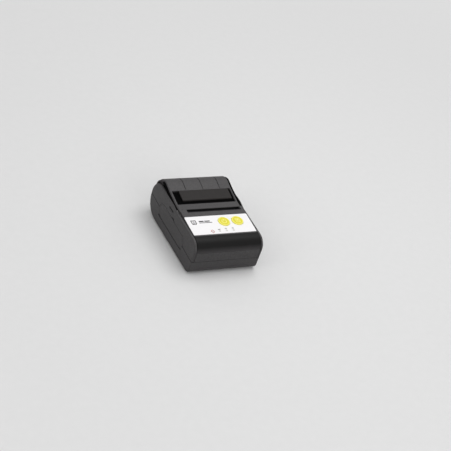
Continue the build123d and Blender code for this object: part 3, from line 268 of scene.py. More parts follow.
# %% Smoked polycarbonate
RIPPLE = 4.0
smoked_pc, tree, place = open_material("smoked_polycarbonate")
ripple = add(tree, "ShaderNodeTexNoise", {"Scale": 1 / (RIPPLE * MM), "Detail": 1.0}, {"Vector": place})
bump = add(tree, "ShaderNodeBump", {"Strength": 0.12, "Distance": 0.03 * MM},
           {"Height": ripple.outputs["Fac"]})
shade = add(tree, "ShaderNodeValToRGB", links={"Fac": ripple.outputs["Fac"]})
shade.color_ramp.elements[0].color = linear("#201D1C")
shade.color_ramp.elements[1].color = linear("#262322")
shader = add(tree, "ShaderNodeBsdfPrincipled",
             {"IOR": 1.58, "Roughness": 0.5, "Specular IOR Level": 0.15},
             {"Base Color": shade.outputs["Color"], "Normal": bump.outputs["Normal"]})
close_material(tree, shader)
paint(smoked_pc, "cover_window")

# %% [markdown]
# The label over the keys is polyester film, printed white on its underside and lightly embossed on
# top, so it is bright and satin. Its grain is much finer than the case's.

# %% Printed film
FILM_GRAIN = 0.2
overlay_film, tree, place = open_material("white_polyester_film")
grain = add(tree, "ShaderNodeTexNoise", {"Scale": 1 / (FILM_GRAIN * MM), "Detail": 2.0}, {"Vector": place})
gloss = add(tree, "ShaderNodeMapRange", {"To Min": 0.3, "To Max": 0.42}, {"Value": grain.outputs["Fac"]})
shade = add(tree, "ShaderNodeValToRGB", links={"Fac": grain.outputs["Fac"]})
shade.color_ramp.elements[0].color = linear("#F2F0F1")
shade.color_ramp.elements[1].color = linear("#F9F8F9")
bump = add(tree, "ShaderNodeBump", {"Strength": 0.2, "Distance": 0.01 * MM},
           {"Height": grain.outputs["Fac"]})
shader = add(tree, "ShaderNodeBsdfPrincipled", {"IOR": 1.6},
             {"Base Color": shade.outputs["Color"], "Roughness": gloss.outputs["Result"],
              "Normal": bump.outputs["Normal"]})
close_material(tree, shader)
paint(overlay_film, "control_panel_overlay")

# %% [markdown]
# The panel tilts up slightly to the rear. Print on it and on the keys is placed by a distance from
# the case's front and a height above the film, so one function turns those into a point in space.
# The places of the slit, keys and lenses repeat the CAD's own dimensions, in millimetres.

# %% Places on the control panel
HALF_LENGTH = cad_high[1] / MM
SLIT_FRONT = 48.7
PANEL_FRONT = 13.0
PANEL_REAR_HEIGHT = 41.0
PANEL_CLIMB = 2.0
PANEL_TILT = math.atan2(PANEL_CLIMB, SLIT_FRONT - PANEL_FRONT)
KEY_RISE = 0.82
KEY_PLACES = {"power_button": (5.4, 32.0), "feed_button": (21.0, 32.0)}
LENS_PLACES = [(-13.1 + 8.0 * index, 19.0) for index in range(4)]


def on_panel(x, distance, lift):
    """Point on the control panel, in metres, from millimetres."""
    y = distance - HALF_LENGTH - lift * math.sin(PANEL_TILT)
    z = PANEL_REAR_HEIGHT + (distance - SLIT_FRONT) * math.tan(PANEL_TILT) + lift * math.cos(PANEL_TILT)
    return Vector((x, y, z)) * MM


print("power key's top", [round(v / MM, 1) for v in on_panel(*KEY_PLACES["power_button"], KEY_RISE)])

# %% [markdown]
# The two keys are yellow silicone, moulded matt and slightly soft, with a paler printed rim. A
# distance from the key's own axis tells the rim from the middle, so the paint follows the key.

# %% Yellow silicone
RIM_START = 4.9
RIM_FULL = 5.3
SILICONE_SPECK = 0.3


def key_silicone(name, centre):
    """Yellow silicone with a paler rim round a key's centre."""
    material, tree, place = open_material(name)
    shift = add(tree, "ShaderNodeMapping", {"Location": [-v for v in centre]}, {"Vector": place})
    flat = add(tree, "ShaderNodeVectorMath", {1: (1.0, 1.0, 0.0)}, {0: shift.outputs["Vector"]},
               operation="MULTIPLY")
    radius = add(tree, "ShaderNodeVectorMath", links={0: flat.outputs["Vector"]}, operation="LENGTH")
    ring = add(tree, "ShaderNodeMapRange", {"From Min": RIM_START * MM, "From Max": RIM_FULL * MM},
               {"Value": radius.outputs["Value"]})
    speck = add(tree, "ShaderNodeTexNoise", {"Scale": 1 / (SILICONE_SPECK * MM), "Detail": 2.0},
                {"Vector": place})
    shade = add(tree, "ShaderNodeValToRGB", links={"Fac": ring.outputs["Result"]})
    shade.color_ramp.elements[0].color = linear("#E2D834")
    shade.color_ramp.elements[1].color = linear("#F6EE72")
    bump = add(tree, "ShaderNodeBump", {"Strength": 0.25, "Distance": 0.02 * MM},
               {"Height": speck.outputs["Fac"]})
    shader = add(tree, "ShaderNodeBsdfPrincipled", {"IOR": 1.41, "Roughness": 0.6, "Sheen Weight": 0.1},
                 {"Base Color": shade.outputs["Color"], "Normal": bump.outputs["Normal"]})
    close_material(tree, shader)
    return material


for key, (x, distance) in KEY_PLACES.items():
    paint(key_silicone("yellow_silicone_" + key, on_panel(x, distance, 0)), key)

# %% [markdown]
# Rubber comes in two kinds here: soft moulded feet, and the platen, whose sleeve is ground on a
# lathe and keeps faint rings round it. Both are nearly black and scatter light widely.

# %% Rubbers
RUBBER_SPECK = 0.4
LATHE_RING = 2.0
foot_rubber, tree, place = open_material("moulded_black_rubber")
speck = add(tree, "ShaderNodeTexNoise", {"Scale": 1 / (RUBBER_SPECK * MM), "Detail": 2.0},
            {"Vector": place})
shade = add(tree, "ShaderNodeValToRGB", links={"Fac": speck.outputs["Fac"]})
shade.color_ramp.elements[0].color = linear("#161616")
shade.color_ramp.elements[1].color = linear("#1F1F1F")
shader = add(tree, "ShaderNodeBsdfPrincipled", {"IOR": 1.52, "Roughness": 0.8},
             {"Base Color": shade.outputs["Color"]})
close_material(tree, shader)
paint(foot_rubber, "rubber_feet")

platen_rubber, tree, place = open_material("ground_platen_rubber")
ring = add(tree, "ShaderNodeTexWave",
           {"Scale": 1 / (LATHE_RING * MM) / math.pi, "Distortion": 0.6, "Detail": 2.0},
           {"Vector": place}, bands_direction="X")
shade = add(tree, "ShaderNodeValToRGB", links={"Fac": ring.outputs["Fac"]})
shade.color_ramp.elements[0].color = linear("#1A1A1C")
shade.color_ramp.elements[1].color = linear("#232325")
bump = add(tree, "ShaderNodeBump", {"Strength": 0.3, "Distance": 0.02 * MM},
           {"Height": ring.outputs["Fac"]})
shader = add(tree, "ShaderNodeBsdfPrincipled", {"IOR": 1.52, "Roughness": 0.65},
             {"Base Color": shade.outputs["Color"], "Normal": bump.outputs["Normal"]})
close_material(tree, shader)
paint(platen_rubber, "platen_roller")

# %% [markdown]
# Metals differ by how they were worked. Shafts are ground, so they have rings round their axis.
# The tear bar is rolled strip, painted near black as painted shade of the slit it sits in. Socket shells
# are nickel plated, the heat sink is extruded along the head, and screws are zinc plated. A stretched
# noise gives each its direction. The zinc has none, so its noise is left unstretched.

# %% Metals


def worked_metal(name, light, dark, roughness, stretch, grain_mm, depth_mm):
    """Metal whose fine lines run along the axes in which the stretch is small."""
    material, tree, place = open_material(name)
    lines = add(tree, "ShaderNodeMapping", {"Scale": stretch}, {"Vector": place})
    grain = add(tree, "ShaderNodeTexNoise", {"Scale": 1 / (grain_mm * MM), "Detail": 3.0},
                {"Vector": lines.outputs["Vector"]})
    shade = add(tree, "ShaderNodeValToRGB", links={"Fac": grain.outputs["Fac"]})
    shade.color_ramp.elements[0].color = linear(dark)
    shade.color_ramp.elements[1].color = linear(light)
    gloss = add(tree, "ShaderNodeMapRange", {"To Min": roughness - 0.08, "To Max": roughness + 0.1},
                {"Value": grain.outputs["Fac"]})
    bump = add(tree, "ShaderNodeBump", {"Strength": 0.3, "Distance": depth_mm * MM},
               {"Height": grain.outputs["Fac"]})
    shader = add(tree, "ShaderNodeBsdfPrincipled", {"Metallic": 1.0},
                 {"Base Color": shade.outputs["Color"], "Roughness": gloss.outputs["Result"],
                  "Normal": bump.outputs["Normal"]})
    close_material(tree, shader)
    return material


ground_steel = worked_metal("ground_steel", "#CFCFD2", "#A9A9AE", roughness=0.25,
                            stretch=(1.0, 0.1, 0.1), grain_mm=0.15, depth_mm=0.004)
strip_steel = worked_metal("rolled_strip_steel", "#B4B4B8", "#8E8E92", roughness=0.3,
                           stretch=(0.05, 1.0, 1.0), grain_mm=0.2, depth_mm=0.004)
# Near black: painted shade of the slit, laid on the tear bar.
slit_shade_steel = worked_metal("strip_steel_painted_slit_shade", "#2E2E31", "#1C1C1E", roughness=0.35,
                           stretch=(0.05, 1.0, 1.0), grain_mm=0.2, depth_mm=0.004)
zinc_plate = worked_metal("zinc_plated_steel", "#C4C6CC", "#9FA2AA", roughness=0.38,
                          stretch=(1.0, 1.0, 1.0), grain_mm=0.4, depth_mm=0.01)
nickel_plate = worked_metal("nickel_plated_shell", "#CBC7C0", "#ABA79F", roughness=0.25,
                            stretch=(0.1, 1.0, 1.0), grain_mm=0.3, depth_mm=0.005)
extruded_aluminium = worked_metal("extruded_aluminium", "#D2D3D5", "#B0B1B4", roughness=0.36,
                                  stretch=(0.04, 1.0, 1.0), grain_mm=0.25, depth_mm=0.01)
can_aluminium = worked_metal("drawn_aluminium_can", "#CFD0D4", "#B3B4B9", roughness=0.3,
                             stretch=(1.0, 1.0, 0.1), grain_mm=0.3, depth_mm=0.005)
paint(ground_steel, "platen_shaft", "motor_pinion", "gear_axles", "head_pivot_shaft", "hinge_pins",
      "port_cover_pin", "head_springs")
paint(strip_steel, "tact_switches")
paint(slit_shade_steel, "tear_bar")
paint(zinc_plate, "case_screws", "mechanism_screws", "board_screws")
paint(nickel_plate, "stepper_motor", "usb_socket", "radio_module")
paint(extruded_aluminium, "head_heat_sink")
paint(can_aluminium, "capacitors")

# %% [markdown]
# Acetal gears are off-white, waxy and slightly translucent, so a little light goes in and comes out
# again. The bushes are the same resin in black, and the lenses are clear polycarbonate, frosted on
# the inside so that the lamps behind them light up evenly.

# %% Acetal and lenses
WAX_SPECK = 0.6


def acetal(name, colour, depth):
    """Moulded resin with a waxy surface, into which a given share of the light goes."""
    material, tree, place = open_material(name)
    speck = add(tree, "ShaderNodeTexNoise", {"Scale": 1 / (WAX_SPECK * MM), "Detail": 2.0},
                {"Vector": place})
    gloss = add(tree, "ShaderNodeMapRange", {"To Min": 0.35, "To Max": 0.48},
                {"Value": speck.outputs["Fac"]})
    bump = add(tree, "ShaderNodeBump", {"Strength": 0.2, "Distance": 0.01 * MM},
               {"Height": speck.outputs["Fac"]})
    values = {"Base Color": linear(colour), "IOR": 1.48, "Subsurface Weight": depth,
              "Subsurface Radius": (1.0 * MM, 0.9 * MM, 0.7 * MM), "Subsurface Scale": 1.0}
    shader = add(tree, "ShaderNodeBsdfPrincipled", values,
                 {"Roughness": gloss.outputs["Result"], "Normal": bump.outputs["Normal"]})
    close_material(tree, shader)
    return material


white_acetal = acetal("white_acetal", "#E6E3D9", depth=0.2)
black_acetal = acetal("black_acetal", "#1A1A1A", depth=0.0)
lens_pc = acetal("frosted_lens", "#D9D8D4", depth=0.1)
paint(white_acetal, "platen_gear", "idler_gear", "compound_gear")
paint(black_acetal, "platen_bushes")
paint(lens_pc, "indicator_lenses", "indicator_lamps")

# %% [markdown]
# Inside lie the boards. Solder mask is a glossy green lacquer over copper, and the tracks under it
# show as slightly lighter, straight-edged shapes. A brick pattern is close enough to those: its
# mortar is the lighter line, and its rows keep the pitch of the pins.

# %% Boards
TRACK_PITCH = 1.27
TRACK_LENGTH = 3.1
TRACK_GAP = 0.12
solder_mask, tree, place = open_material("green_solder_mask")
tracks = add(tree, "ShaderNodeTexBrick",
             {"Color1": linear("#0F5A35"), "Color2": linear("#0B4A2B"), "Mortar": linear("#1C7A4A"),
              "Scale": 1.0, "Brick Width": TRACK_LENGTH * MM, "Row Height": TRACK_PITCH * MM,
              "Mortar Size": TRACK_GAP * MM},
             {"Vector": place}, offset=0.37)
shader = add(tree, "ShaderNodeBsdfPrincipled", {"IOR": 1.55, "Roughness": 0.3, "Coat Weight": 0.4},
             {"Base Color": tracks.outputs["Color"]})
close_material(tree, shader)
paint(solder_mask, "main_board", "key_board")

# %% [markdown]
# Chip bodies are dull black epoxy and the battery has a blue shrink sleeve. Both are plain moulded
# plastic to the eye, so the recipe of the case does for them. The print head is glazed ceramic, a
# hard smooth cream with a little cloud in its colour and a clear coat on top.

# %% Chips, battery and print head
CERAMIC_CLOUD = 2.0
chip_epoxy = moulded_abs("black_chip_epoxy", "#242424", "#1C1C1C", roughness=0.55, grain_mm=0.2,
                         grain_depth_mm=0.01)
paint(chip_epoxy, "board_chips", "dc_jack", "buzzer", "battery_contacts", "paper_sensor")
battery_wrap = moulded_abs("blue_shrink_sleeve", "#2F4270", "#283A66", roughness=0.3, grain_mm=1.2,
                           grain_depth_mm=0.02)
paint(battery_wrap, "battery_pack")

glazed_ceramic, tree, place = open_material("glazed_ceramic")
cloud = add(tree, "ShaderNodeTexNoise", {"Scale": 1 / (CERAMIC_CLOUD * MM), "Detail": 3.0},
            {"Vector": place})
shade = add(tree, "ShaderNodeValToRGB", links={"Fac": cloud.outputs["Fac"]})
shade.color_ramp.elements[0].color = linear("#CFC9BA")
shade.color_ramp.elements[1].color = linear("#DAD5C8")
shader = add(tree, "ShaderNodeBsdfPrincipled", {"IOR": 1.65, "Roughness": 0.2, "Coat Weight": 0.3},
             {"Base Color": shade.outputs["Color"]})
close_material(tree, shader)
paint(glazed_ceramic, "print_head")

# %% [markdown]
# Print is screen ink a few hundredths of a millimetre thick. It dries dull, and a fine speck in its
# colour keeps it from looking like cut paper. The grains of pigment are far too small to show, so
# the speck is drawn at 0.15 mm.

# %% Inks
INK_SPECK = 0.15


def screen_ink(name, light, dark):
    """Dull screen-printing ink."""
    material, tree, place = open_material(name)
    speck = add(tree, "ShaderNodeTexNoise", {"Scale": 1 / (INK_SPECK * MM), "Detail": 2.0},
                {"Vector": place})
    shade = add(tree, "ShaderNodeValToRGB", links={"Fac": speck.outputs["Fac"]})
    shade.color_ramp.elements[0].color = linear(dark)
    shade.color_ramp.elements[1].color = linear(light)
    shader = add(tree, "ShaderNodeBsdfPrincipled", {"IOR": 1.5, "Roughness": 0.55},
                 {"Base Color": shade.outputs["Color"]})
    close_material(tree, shader)
    return material


black_ink = screen_ink("black_ink", "#1C1B1C", "#101010")
red_ink = screen_ink("red_ink", "#C2484A", "#B43E40")
pale_ink = screen_ink("pale_yellow_ink", "#FFF9A0", "#FCF590")
print("inks:", black_ink.name, red_ink.name, pale_ink.name)

# %% [markdown]
# Every piece that is made here rides on one body of the printer, so that it moves with it. Its place
# is in its mesh and its object stays at the origin, so a pattern in its material keeps its hold on the
# piece when the body moves.

# %% Pieces from a mesh


def mesh_piece(name, mesh, material, body):
    """Object for a finished mesh, riding on a body, with its material."""
    mesh.materials.clear()
    mesh.materials.append(material)
    piece = bpy.data.objects.new(name, mesh)
    bpy.context.scene.collection.objects.link(piece)
    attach(piece, body)
    print(name, "rides on", body, "with", len(mesh.polygons), "faces")
    return piece


def built_piece(name, build, material, body):
    """Object for what a bmesh holds, with its faces turned outwards."""
    bmesh.ops.recalc_face_normals(build, faces=build.faces)
    mesh = bpy.data.meshes.new(name)
    build.to_mesh(mesh)
    build.free()
    return mesh_piece(name, mesh, material, body)


# %% [markdown]
# Each printed mark is drawn as strokes, as with a broad pen: a line of points and a width. A flat
# picture on the film would do for a plain view, but a real strip of ink catches the light at its
# edge. So a stroke gets a left and a right edge, mitred at its corners, and a thin strip is built
# between them that lies on the film or on a key. Arcs are worked out from a radius and two angles.

# %% Strokes
MITRE_LIMIT = 0.5


def stroke_outline(points, width):
    """Left and right edge of a stroke through 2D points."""
    closed = points[0] == points[-1]
    left, right = [], []
    for index, point in enumerate(points):
        before = points[index - 1] if index else (points[-2] if closed else point)
        after = points[index + 1] if index < len(points) - 1 else (points[1] if closed else point)
        in_x, in_y = point[0] - before[0], point[1] - before[1]
        out_x, out_y = after[0] - point[0], after[1] - point[1]
        in_length, out_length = math.hypot(in_x, in_y) or 1.0, math.hypot(out_x, out_y) or 1.0
        side_x = -(in_y / in_length + out_y / out_length)
        side_y = in_x / in_length + out_x / out_length
        length = math.hypot(side_x, side_y) or 1.0
        mitre = max(MITRE_LIMIT, length / 2) if before != point and after != point else 1.0
        reach = width / 2 / mitre / length
        left.append((point[0] + side_x * reach, point[1] + side_y * reach))
        right.append((point[0] - side_x * reach, point[1] - side_y * reach))
    return left, right


def arc(x, y, radius, start, end, steps=28):
    """Points along an arc, angles in degrees from the right."""
    turns = [math.radians(start + (end - start) * index / steps) for index in range(steps + 1)]
    return [(x + radius * math.cos(turn), y + radius * math.sin(turn)) for turn in turns]


def print_marks(name, strokes, centre, lift, thickness, material, body):
    """Thin raised print from strokes of (points, width), round a centre on the panel."""
    build = bmesh.new()
    for points, width in strokes:
        left, right = stroke_outline(points, width)
        rings = []
        for one, other in zip(left, right):
            top = lift + thickness
            corners = ((one, lift), (other, lift), (other, top), (one, top))
            rings.append([build.verts.new(on_panel(centre[0] + x, centre[1] + y, height))
                          for (x, y), height in corners])
        for first, second in zip(rings, rings[1:]):
            for side in range(4):
                after = (side + 1) % 4
                build.faces.new((first[side], first[after], second[after], second[side]))
        if points[0] != points[-1]:
            build.faces.new(rings[0])
            build.faces.new(rings[-1][::-1])
    bmesh.ops.remove_doubles(build, verts=build.verts, dist=1e-7)
    return built_piece(name, build, material, body)


print("a quarter turn has", len(arc(0, 0, 1, 0, 90)), "points")

# %% [markdown]
# The left key carries the usual on-off sign, an open ring with a bar, and the right key a sheet of
# paper with an arrow that feeds it out. Both are printed in a paler yellow.

# %% Signs on the keys
KEY_PRINT = 0.05
PRINT_SINK = 0.01
power_sign = [(arc(0, -0.2, 2.5, 125, 415), 0.75), ([(0, 0.3), (0, 3.1)], 0.75)]
feed_sign = [
    ([(-2.0, -2.6), (-2.0, 2.6), (1.0, 2.6), (2.2, 1.4), (2.2, -2.6), (-2.0, -2.6)], 0.6),
    ([(0.1, -1.6), (0.1, 1.4)], 0.6),
    ([(-1.0, 0.3), (0.1, 1.5), (1.2, 0.3)], 0.6),
]
key_signs = [("power_button", power_sign, "power_key"), ("feed_button", feed_sign, "feed_key")]
for key, sign, body in key_signs:
    print_marks(key + "_sign", sign, KEY_PLACES[key], KEY_RISE - PRINT_SINK, KEY_PRINT, pale_ink, body)

# %% [markdown]
# Four small signs stand by the lenses: a red diamond round the first for power, then a battery, a
# pair of radio waves and an empty sheet. The left of the film carries a plain row of its own: a
# receipt and three bars. Signs are drawn in millimetres round their lens or their own middle, and
# the bars from their left end.

# %% Signs on the film
FILM_TOP = 0.0
FILM_PRINT = 0.03


def film_marks(name, strokes, centre, ink=black_ink):
    """Print on the white film."""
    print_marks(name, strokes, centre, FILM_TOP, FILM_PRINT, ink, "case")


diamond = [(0, 2.3), (2.0, 0), (0, -2.3), (-2.0, 0), (0, 2.3)]
film_marks("power_light_sign", [(diamond, 0.45)], LENS_PLACES[0], red_ink)
light_signs = [
    (LENS_PLACES[1], [([(-1.2, 2.2), (1.2, 2.2)], 0.9), ([(1.35, 2.2), (1.65, 2.2)], 0.4)]),
    (LENS_PLACES[2], [(arc(0, 1.4, 1.0, 45, 135, 8), 0.35), (arc(0, 1.4, 1.8, 45, 135, 10), 0.35)]),
    (LENS_PLACES[3], [([(-0.7, 1.7), (-0.7, 3.4), (0.7, 3.4), (0.7, 1.7)], 0.4)]),
]
for index, (centre, strokes) in enumerate(light_signs):
    film_marks("light_sign_" + str(index + 2), strokes, centre)

RECEIPT_PLACE = (-28.5, 33.4)
BARS_PLACE = (-22.5, 33.4)
receipt = [
    ([(-2.4, 2.6), (-2.4, -1.9), (-1.6, -2.7), (-0.8, -1.9), (0, -2.7), (0.8, -1.9), (1.6, -2.7),
      (2.4, -1.9), (2.4, 2.6), (-2.4, 2.6)], 0.9),
    ([(-1.1, 1.0), (1.1, 1.0)], 0.7),
    ([(-1.1, -0.5), (1.1, -0.5)], 0.7),
]
film_marks("receipt_sign", receipt, RECEIPT_PLACE)
bars = [([(0, 0.9), (5.5, 0.9)], 1.5), ([(6.4, 0.9), (12.5, 0.9)], 1.5), ([(0, -1.2), (14.5, -1.2)], 0.9)]
film_marks("plain_bars", bars, BARS_PLACE)
print("signs beside the lenses:", 1 + len(light_signs))

# %% [markdown]
# Small screws repeat all over the inside and under the case, so one Geometry Nodes tree makes them.
# A head with a pressed cross, a core and a rolled thread are built in millimetres round the origin,
# head upwards. The tree then sets a copy on every point of a small cloud and turns it as asked.

# %% Tree helpers


def open_tree(name, sizes):
    """New geometry tree with named number inputs, and the node that hands them out."""
    tree = bpy.data.node_groups.new(name, "GeometryNodeTree")
    tree.interface.new_socket("Geometry", in_out="INPUT", socket_type="NodeSocketGeometry")
    for size in sizes:
        tree.interface.new_socket(size, in_out="INPUT", socket_type="NodeSocketFloat")
    tree.interface.new_socket("Turn", in_out="INPUT", socket_type="NodeSocketVector")
    tree.interface.new_socket("Material", in_out="INPUT", socket_type="NodeSocketMaterial")
    tree.interface.new_socket("Geometry", in_out="OUTPUT", socket_type="NodeSocketGeometry")
    return tree, add(tree, "NodeGroupInput").outputs


def close_tree(tree, given, instances):
    """Makes copies real, gives them the material and hands them out."""
    real = add(tree, "GeometryNodeRealizeInstances", links={"Geometry": instances})
    painted = add(tree, "GeometryNodeSetMaterial",
                  links={"Geometry": real.outputs[0], "Material": given["Material"]})
    add(tree, "NodeGroupOutput", links={0: painted.outputs[0]})


def grown(name, tree, points, values, material, body, turn=(0.0, 0.0, 0.0)):
    """Runs a tree on a cloud of points given in millimetres, and keeps the plain mesh it makes."""
    cloud = bpy.data.meshes.new(name + "_cloud")
    cloud.from_pydata([Vector(point) * MM for point in points], [], [])
    holder = bpy.data.objects.new(name + "_cloud", cloud)
    bpy.context.scene.collection.objects.link(holder)
    modifier = holder.modifiers.new("tree", "NODES")
    modifier.node_group = tree
    values = dict(values, Turn=turn, Material=material)
    for item in tree.interface.items_tree:
        if item.in_out == "INPUT" and item.name in values:
            modifier[item.identifier] = values[item.name]
    shown = holder.evaluated_get(bpy.context.evaluated_depsgraph_get())
    mesh = bpy.data.meshes.new_from_object(shown)
    holder.modifiers.remove(modifier)
    bpy.data.objects.remove(holder)
    print(name, "triangles", sum(len(face.vertices) - 2 for face in mesh.polygons))
    return mesh_piece(name, mesh, material, body)


# %% Screw head
SCREW_SIZES = ["Head Diameter", "Head Height", "Shank Diameter", "Shank Length", "Thread Pitch",
               "Cross Length"]
SCREW_SHARES = [
    ("head radius", "Head Diameter", 0.5), ("head middle", "Head Height", 0.5),
    ("cross width", "Cross Length", 0.24), ("core radius", "Shank Diameter", 0.4),
    ("core middle", "Shank Length", -0.5), ("thread radius", "Shank Diameter", 0.42),
    ("ridge radius", "Thread Pitch", 0.3), ("tip", "Shank Length", -1.0),
]
tree, given = open_tree("cross_screw", SCREW_SIZES)
screw_tree = tree
share = {}
for name, size_name, factor in SCREW_SHARES:
    scaled = add(tree, "ShaderNodeMath", {1: factor}, {0: given[size_name]}, operation="MULTIPLY")
    share[name] = scaled.outputs[0]
head = add(tree, "GeometryNodeMeshCylinder", {"Vertices": 28},
           {"Radius": share["head radius"], "Depth": given["Head Height"]})
middle = add(tree, "ShaderNodeCombineXYZ", links={"Z": share["head middle"]})
head = add(tree, "GeometryNodeTransform",
           links={"Geometry": head.outputs["Mesh"], "Translation": middle.outputs[0]})
slots = []
for axis in ("X", "Y"):
    across = "Y" if axis == "X" else "X"
    size = add(tree, "ShaderNodeCombineXYZ",
               links={axis: given["Cross Length"], across: share["cross width"],
                      "Z": given["Head Height"]})
    slot_bar = add(tree, "GeometryNodeMeshCube", links={"Size": size.outputs[0]})
    top = add(tree, "ShaderNodeCombineXYZ", links={"Z": given["Head Height"]})
    slots.append(add(tree, "GeometryNodeTransform",
                     links={"Geometry": slot_bar.outputs["Mesh"], "Translation": top.outputs[0]}))
cut = add(tree, "GeometryNodeMeshBoolean", links={"Mesh 1": head.outputs[0]}, operation="DIFFERENCE")
for slot_bar in slots:
    tree.links.new(slot_bar.outputs[0], cut.inputs["Mesh 2"])
print("screw head:", len(tree.nodes), "nodes so far")

# %% [markdown]
# Below the head comes the shank. A real thread is one ridge that winds round a core, so a spiral
# with as many turns as the pitch fits into the length carries a three-sided profile. The same tree
# joins head, core and thread, shrinks them from millimetres to metres and sets them on the points.

# %% Screw thread and copies
core = add(tree, "GeometryNodeMeshCylinder", {"Vertices": 16},
           {"Radius": share["core radius"], "Depth": given["Shank Length"]})
low = add(tree, "ShaderNodeCombineXYZ", links={"Z": share["core middle"]})
core = add(tree, "GeometryNodeTransform",
           links={"Geometry": core.outputs["Mesh"], "Translation": low.outputs[0]})
turns = add(tree, "ShaderNodeMath", links={0: given["Shank Length"], 1: given["Thread Pitch"]},
            operation="DIVIDE")
spiral = add(tree, "GeometryNodeCurveSpiral", {"Resolution": 14},
             {"Rotations": turns.outputs[0], "Start Radius": share["thread radius"],
              "End Radius": share["thread radius"], "Height": given["Shank Length"]})
ridge = add(tree, "GeometryNodeCurvePrimitiveCircle", {"Resolution": 3},
            {"Radius": share["ridge radius"]})
thread = add(tree, "GeometryNodeCurveToMesh", {"Fill Caps": True},
             {"Curve": spiral.outputs[0], "Profile Curve": ridge.outputs[0]})
bottom = add(tree, "ShaderNodeCombineXYZ", links={"Z": share["tip"]})
thread = add(tree, "GeometryNodeTransform",
             links={"Geometry": thread.outputs[0], "Translation": bottom.outputs[0]})
whole = add(tree, "GeometryNodeJoinGeometry")
for part in (thread, core, cut):
    tree.links.new(part.outputs[0], whole.inputs[0])
small = add(tree, "GeometryNodeTransform", {"Scale": (MM, MM, MM)}, {"Geometry": whole.outputs[0]})
copies = add(tree, "GeometryNodeInstanceOnPoints",
             links={"Points": given["Geometry"], "Instance": small.outputs[0], "Rotation": given["Turn"]})
close_tree(tree, given, copies.outputs[0])
print("whole screw:", len(tree.nodes), "nodes")

# %% [markdown]
# The case screws go in from below, so they are turned head down. Each set replaces its plain CAD
# node and keeps its sizes: 4 mm heads with a 2.2 mm thread under the case, smaller ones inside. A
# set lists its places, its sizes in the order of the tree's inputs, and its turn.

# %% Screws
SCREW_SETS = [
    ("case_screws", [(-34.2, -41.0, 3.2), (34.2, -41.0, 3.2), (-34.2, 36.0, 3.2), (34.2, 36.0, 3.2)],
     (4.0, 1.8, 2.2, 10.3, 0.8, 2.2), (math.pi, 0.0, 0.0)),
    ("board_screws", [(-27.9, -44.5, 18.6), (27.9, -44.5, 18.6), (27.9, -18.0, 18.6)],
     (3.2, 1.1, 1.6, 5.6, 0.5, 1.9), (0.0, 0.0, 0.0)),
    ("mechanism_screws", [(-21.7, -1.0, 4.8), (26.3, -1.0, 4.8)],
     (3.8, 1.2, 1.8, 3.0, 0.6, 2.1), (0.0, 0.0, 0.0)),
]
for node, points, sizes, turn in SCREW_SETS:
    piece = grown(node.replace("screws", "cross_screws"), screw_tree, points,
                  dict(zip(SCREW_SIZES, sizes)), zinc_plate, "case", turn)
    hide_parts(node)

# %% [markdown]
# The paper lies in a round cradle. Low ribs run round it, so that the roll touches little plastic
# and turns easily. They repeat at one pitch, so a second tree bends one rib along an arc and sets
# copies of it in a row. The arc runs from the front, under the roll, to the rear.

# %% Cradle ribs
RIB_COUNT = 9
RIB_PITCH = 6.5
FIRST_RIB = (-23.7, 26.0, 23.2)
rib_sizes = {"Radius": 18.85, "Start": math.radians(195), "Sweep": math.radians(130), "Width": 0.8,
             "Height": 0.5}
rib_tree, given = open_tree("cradle_ribs", rib_sizes)
bend = add(rib_tree, "GeometryNodeCurveArc", {"Resolution": 28},
           {"Radius": given["Radius"], "Start Angle": given["Start"], "Sweep Angle": given["Sweep"]},
           mode="RADIUS")
profile = add(rib_tree, "GeometryNodeCurvePrimitiveQuadrilateral",
              links={"Width": given["Width"], "Height": given["Height"]})
rib = add(rib_tree, "GeometryNodeCurveToMesh", {"Fill Caps": True},
          {"Curve": bend.outputs[0], "Profile Curve": profile.outputs[0]})
upright = add(rib_tree, "GeometryNodeTransform",
              {"Rotation": (math.pi / 2, 0.0, math.pi / 2), "Scale": (MM, MM, MM)},
              {"Geometry": rib.outputs[0]})
copies = add(rib_tree, "GeometryNodeInstanceOnPoints",
             links={"Points": given["Geometry"], "Instance": upright.outputs[0], "Rotation": given["Turn"]})
close_tree(rib_tree, given, copies.outputs[0])
rib_places = [(FIRST_RIB[0] + RIB_PITCH * index, *FIRST_RIB[1:]) for index in range(RIB_COUNT)]
grown("cradle_ribs", rib_tree, rib_places, rib_sizes, frame_abs, "case")

# %% [markdown]
# Four thin pieces finish what the CAD leaves plain: a black strip on the front face of the paper
# cover, which is painted shadow standing for the shade on that face, the brown heating line on the
# ceramic print head, the drop of black resin over its chips, and a bare silver plate under the battery
# cover. Three are boxes whose edges a bevel softens, given by two opposite corners, and the plate has
# round corners.

# %% Thin pieces


def soft_box(name, low, high, edge, material, body, slot):
    """Box with rounded edges between two corners in millimetres."""
    build = bmesh.new()
    bmesh.ops.create_cube(build, size=1.0)
    size = Vector(high) - Vector(low)
    middle = (Vector(high) + Vector(low)) / 2
    for vert in build.verts:
        vert.co = Vector(c * s + m for c, s, m in zip(vert.co, size, middle)) * MM
    bmesh.ops.bevel(build, geom=build.edges[:], offset=edge * MM, segments=3, profile=0.5,
                    affect="EDGES")
    return built_piece(name, build, material, body)


def corner_plate(name, centre, width, depth, low, high, radius, material, body):
    """Flat plate with rounded corners, in millimetres."""
    corners = [(1, 1, 0), (-1, 1, 90), (-1, -1, 180), (1, -1, 270)]
    outline = []
    for side, end, start in corners:
        x, y = centre[0] + side * (width / 2 - radius), centre[1] + end * (depth / 2 - radius)
        outline += arc(x, y, radius, start, start + 90, 6)
    build = bmesh.new()
    face = build.faces.new([build.verts.new(Vector((x, y, low)) * MM) for x, y in outline])
    raised = bmesh.ops.extrude_face_region(build, geom=[face])
    top = [part for part in raised["geom"] if isinstance(part, bmesh.types.BMVert)]
    bmesh.ops.translate(build, verts=top, vec=(0, 0, (high - low) * MM))
    return built_piece(name, build, material, body)


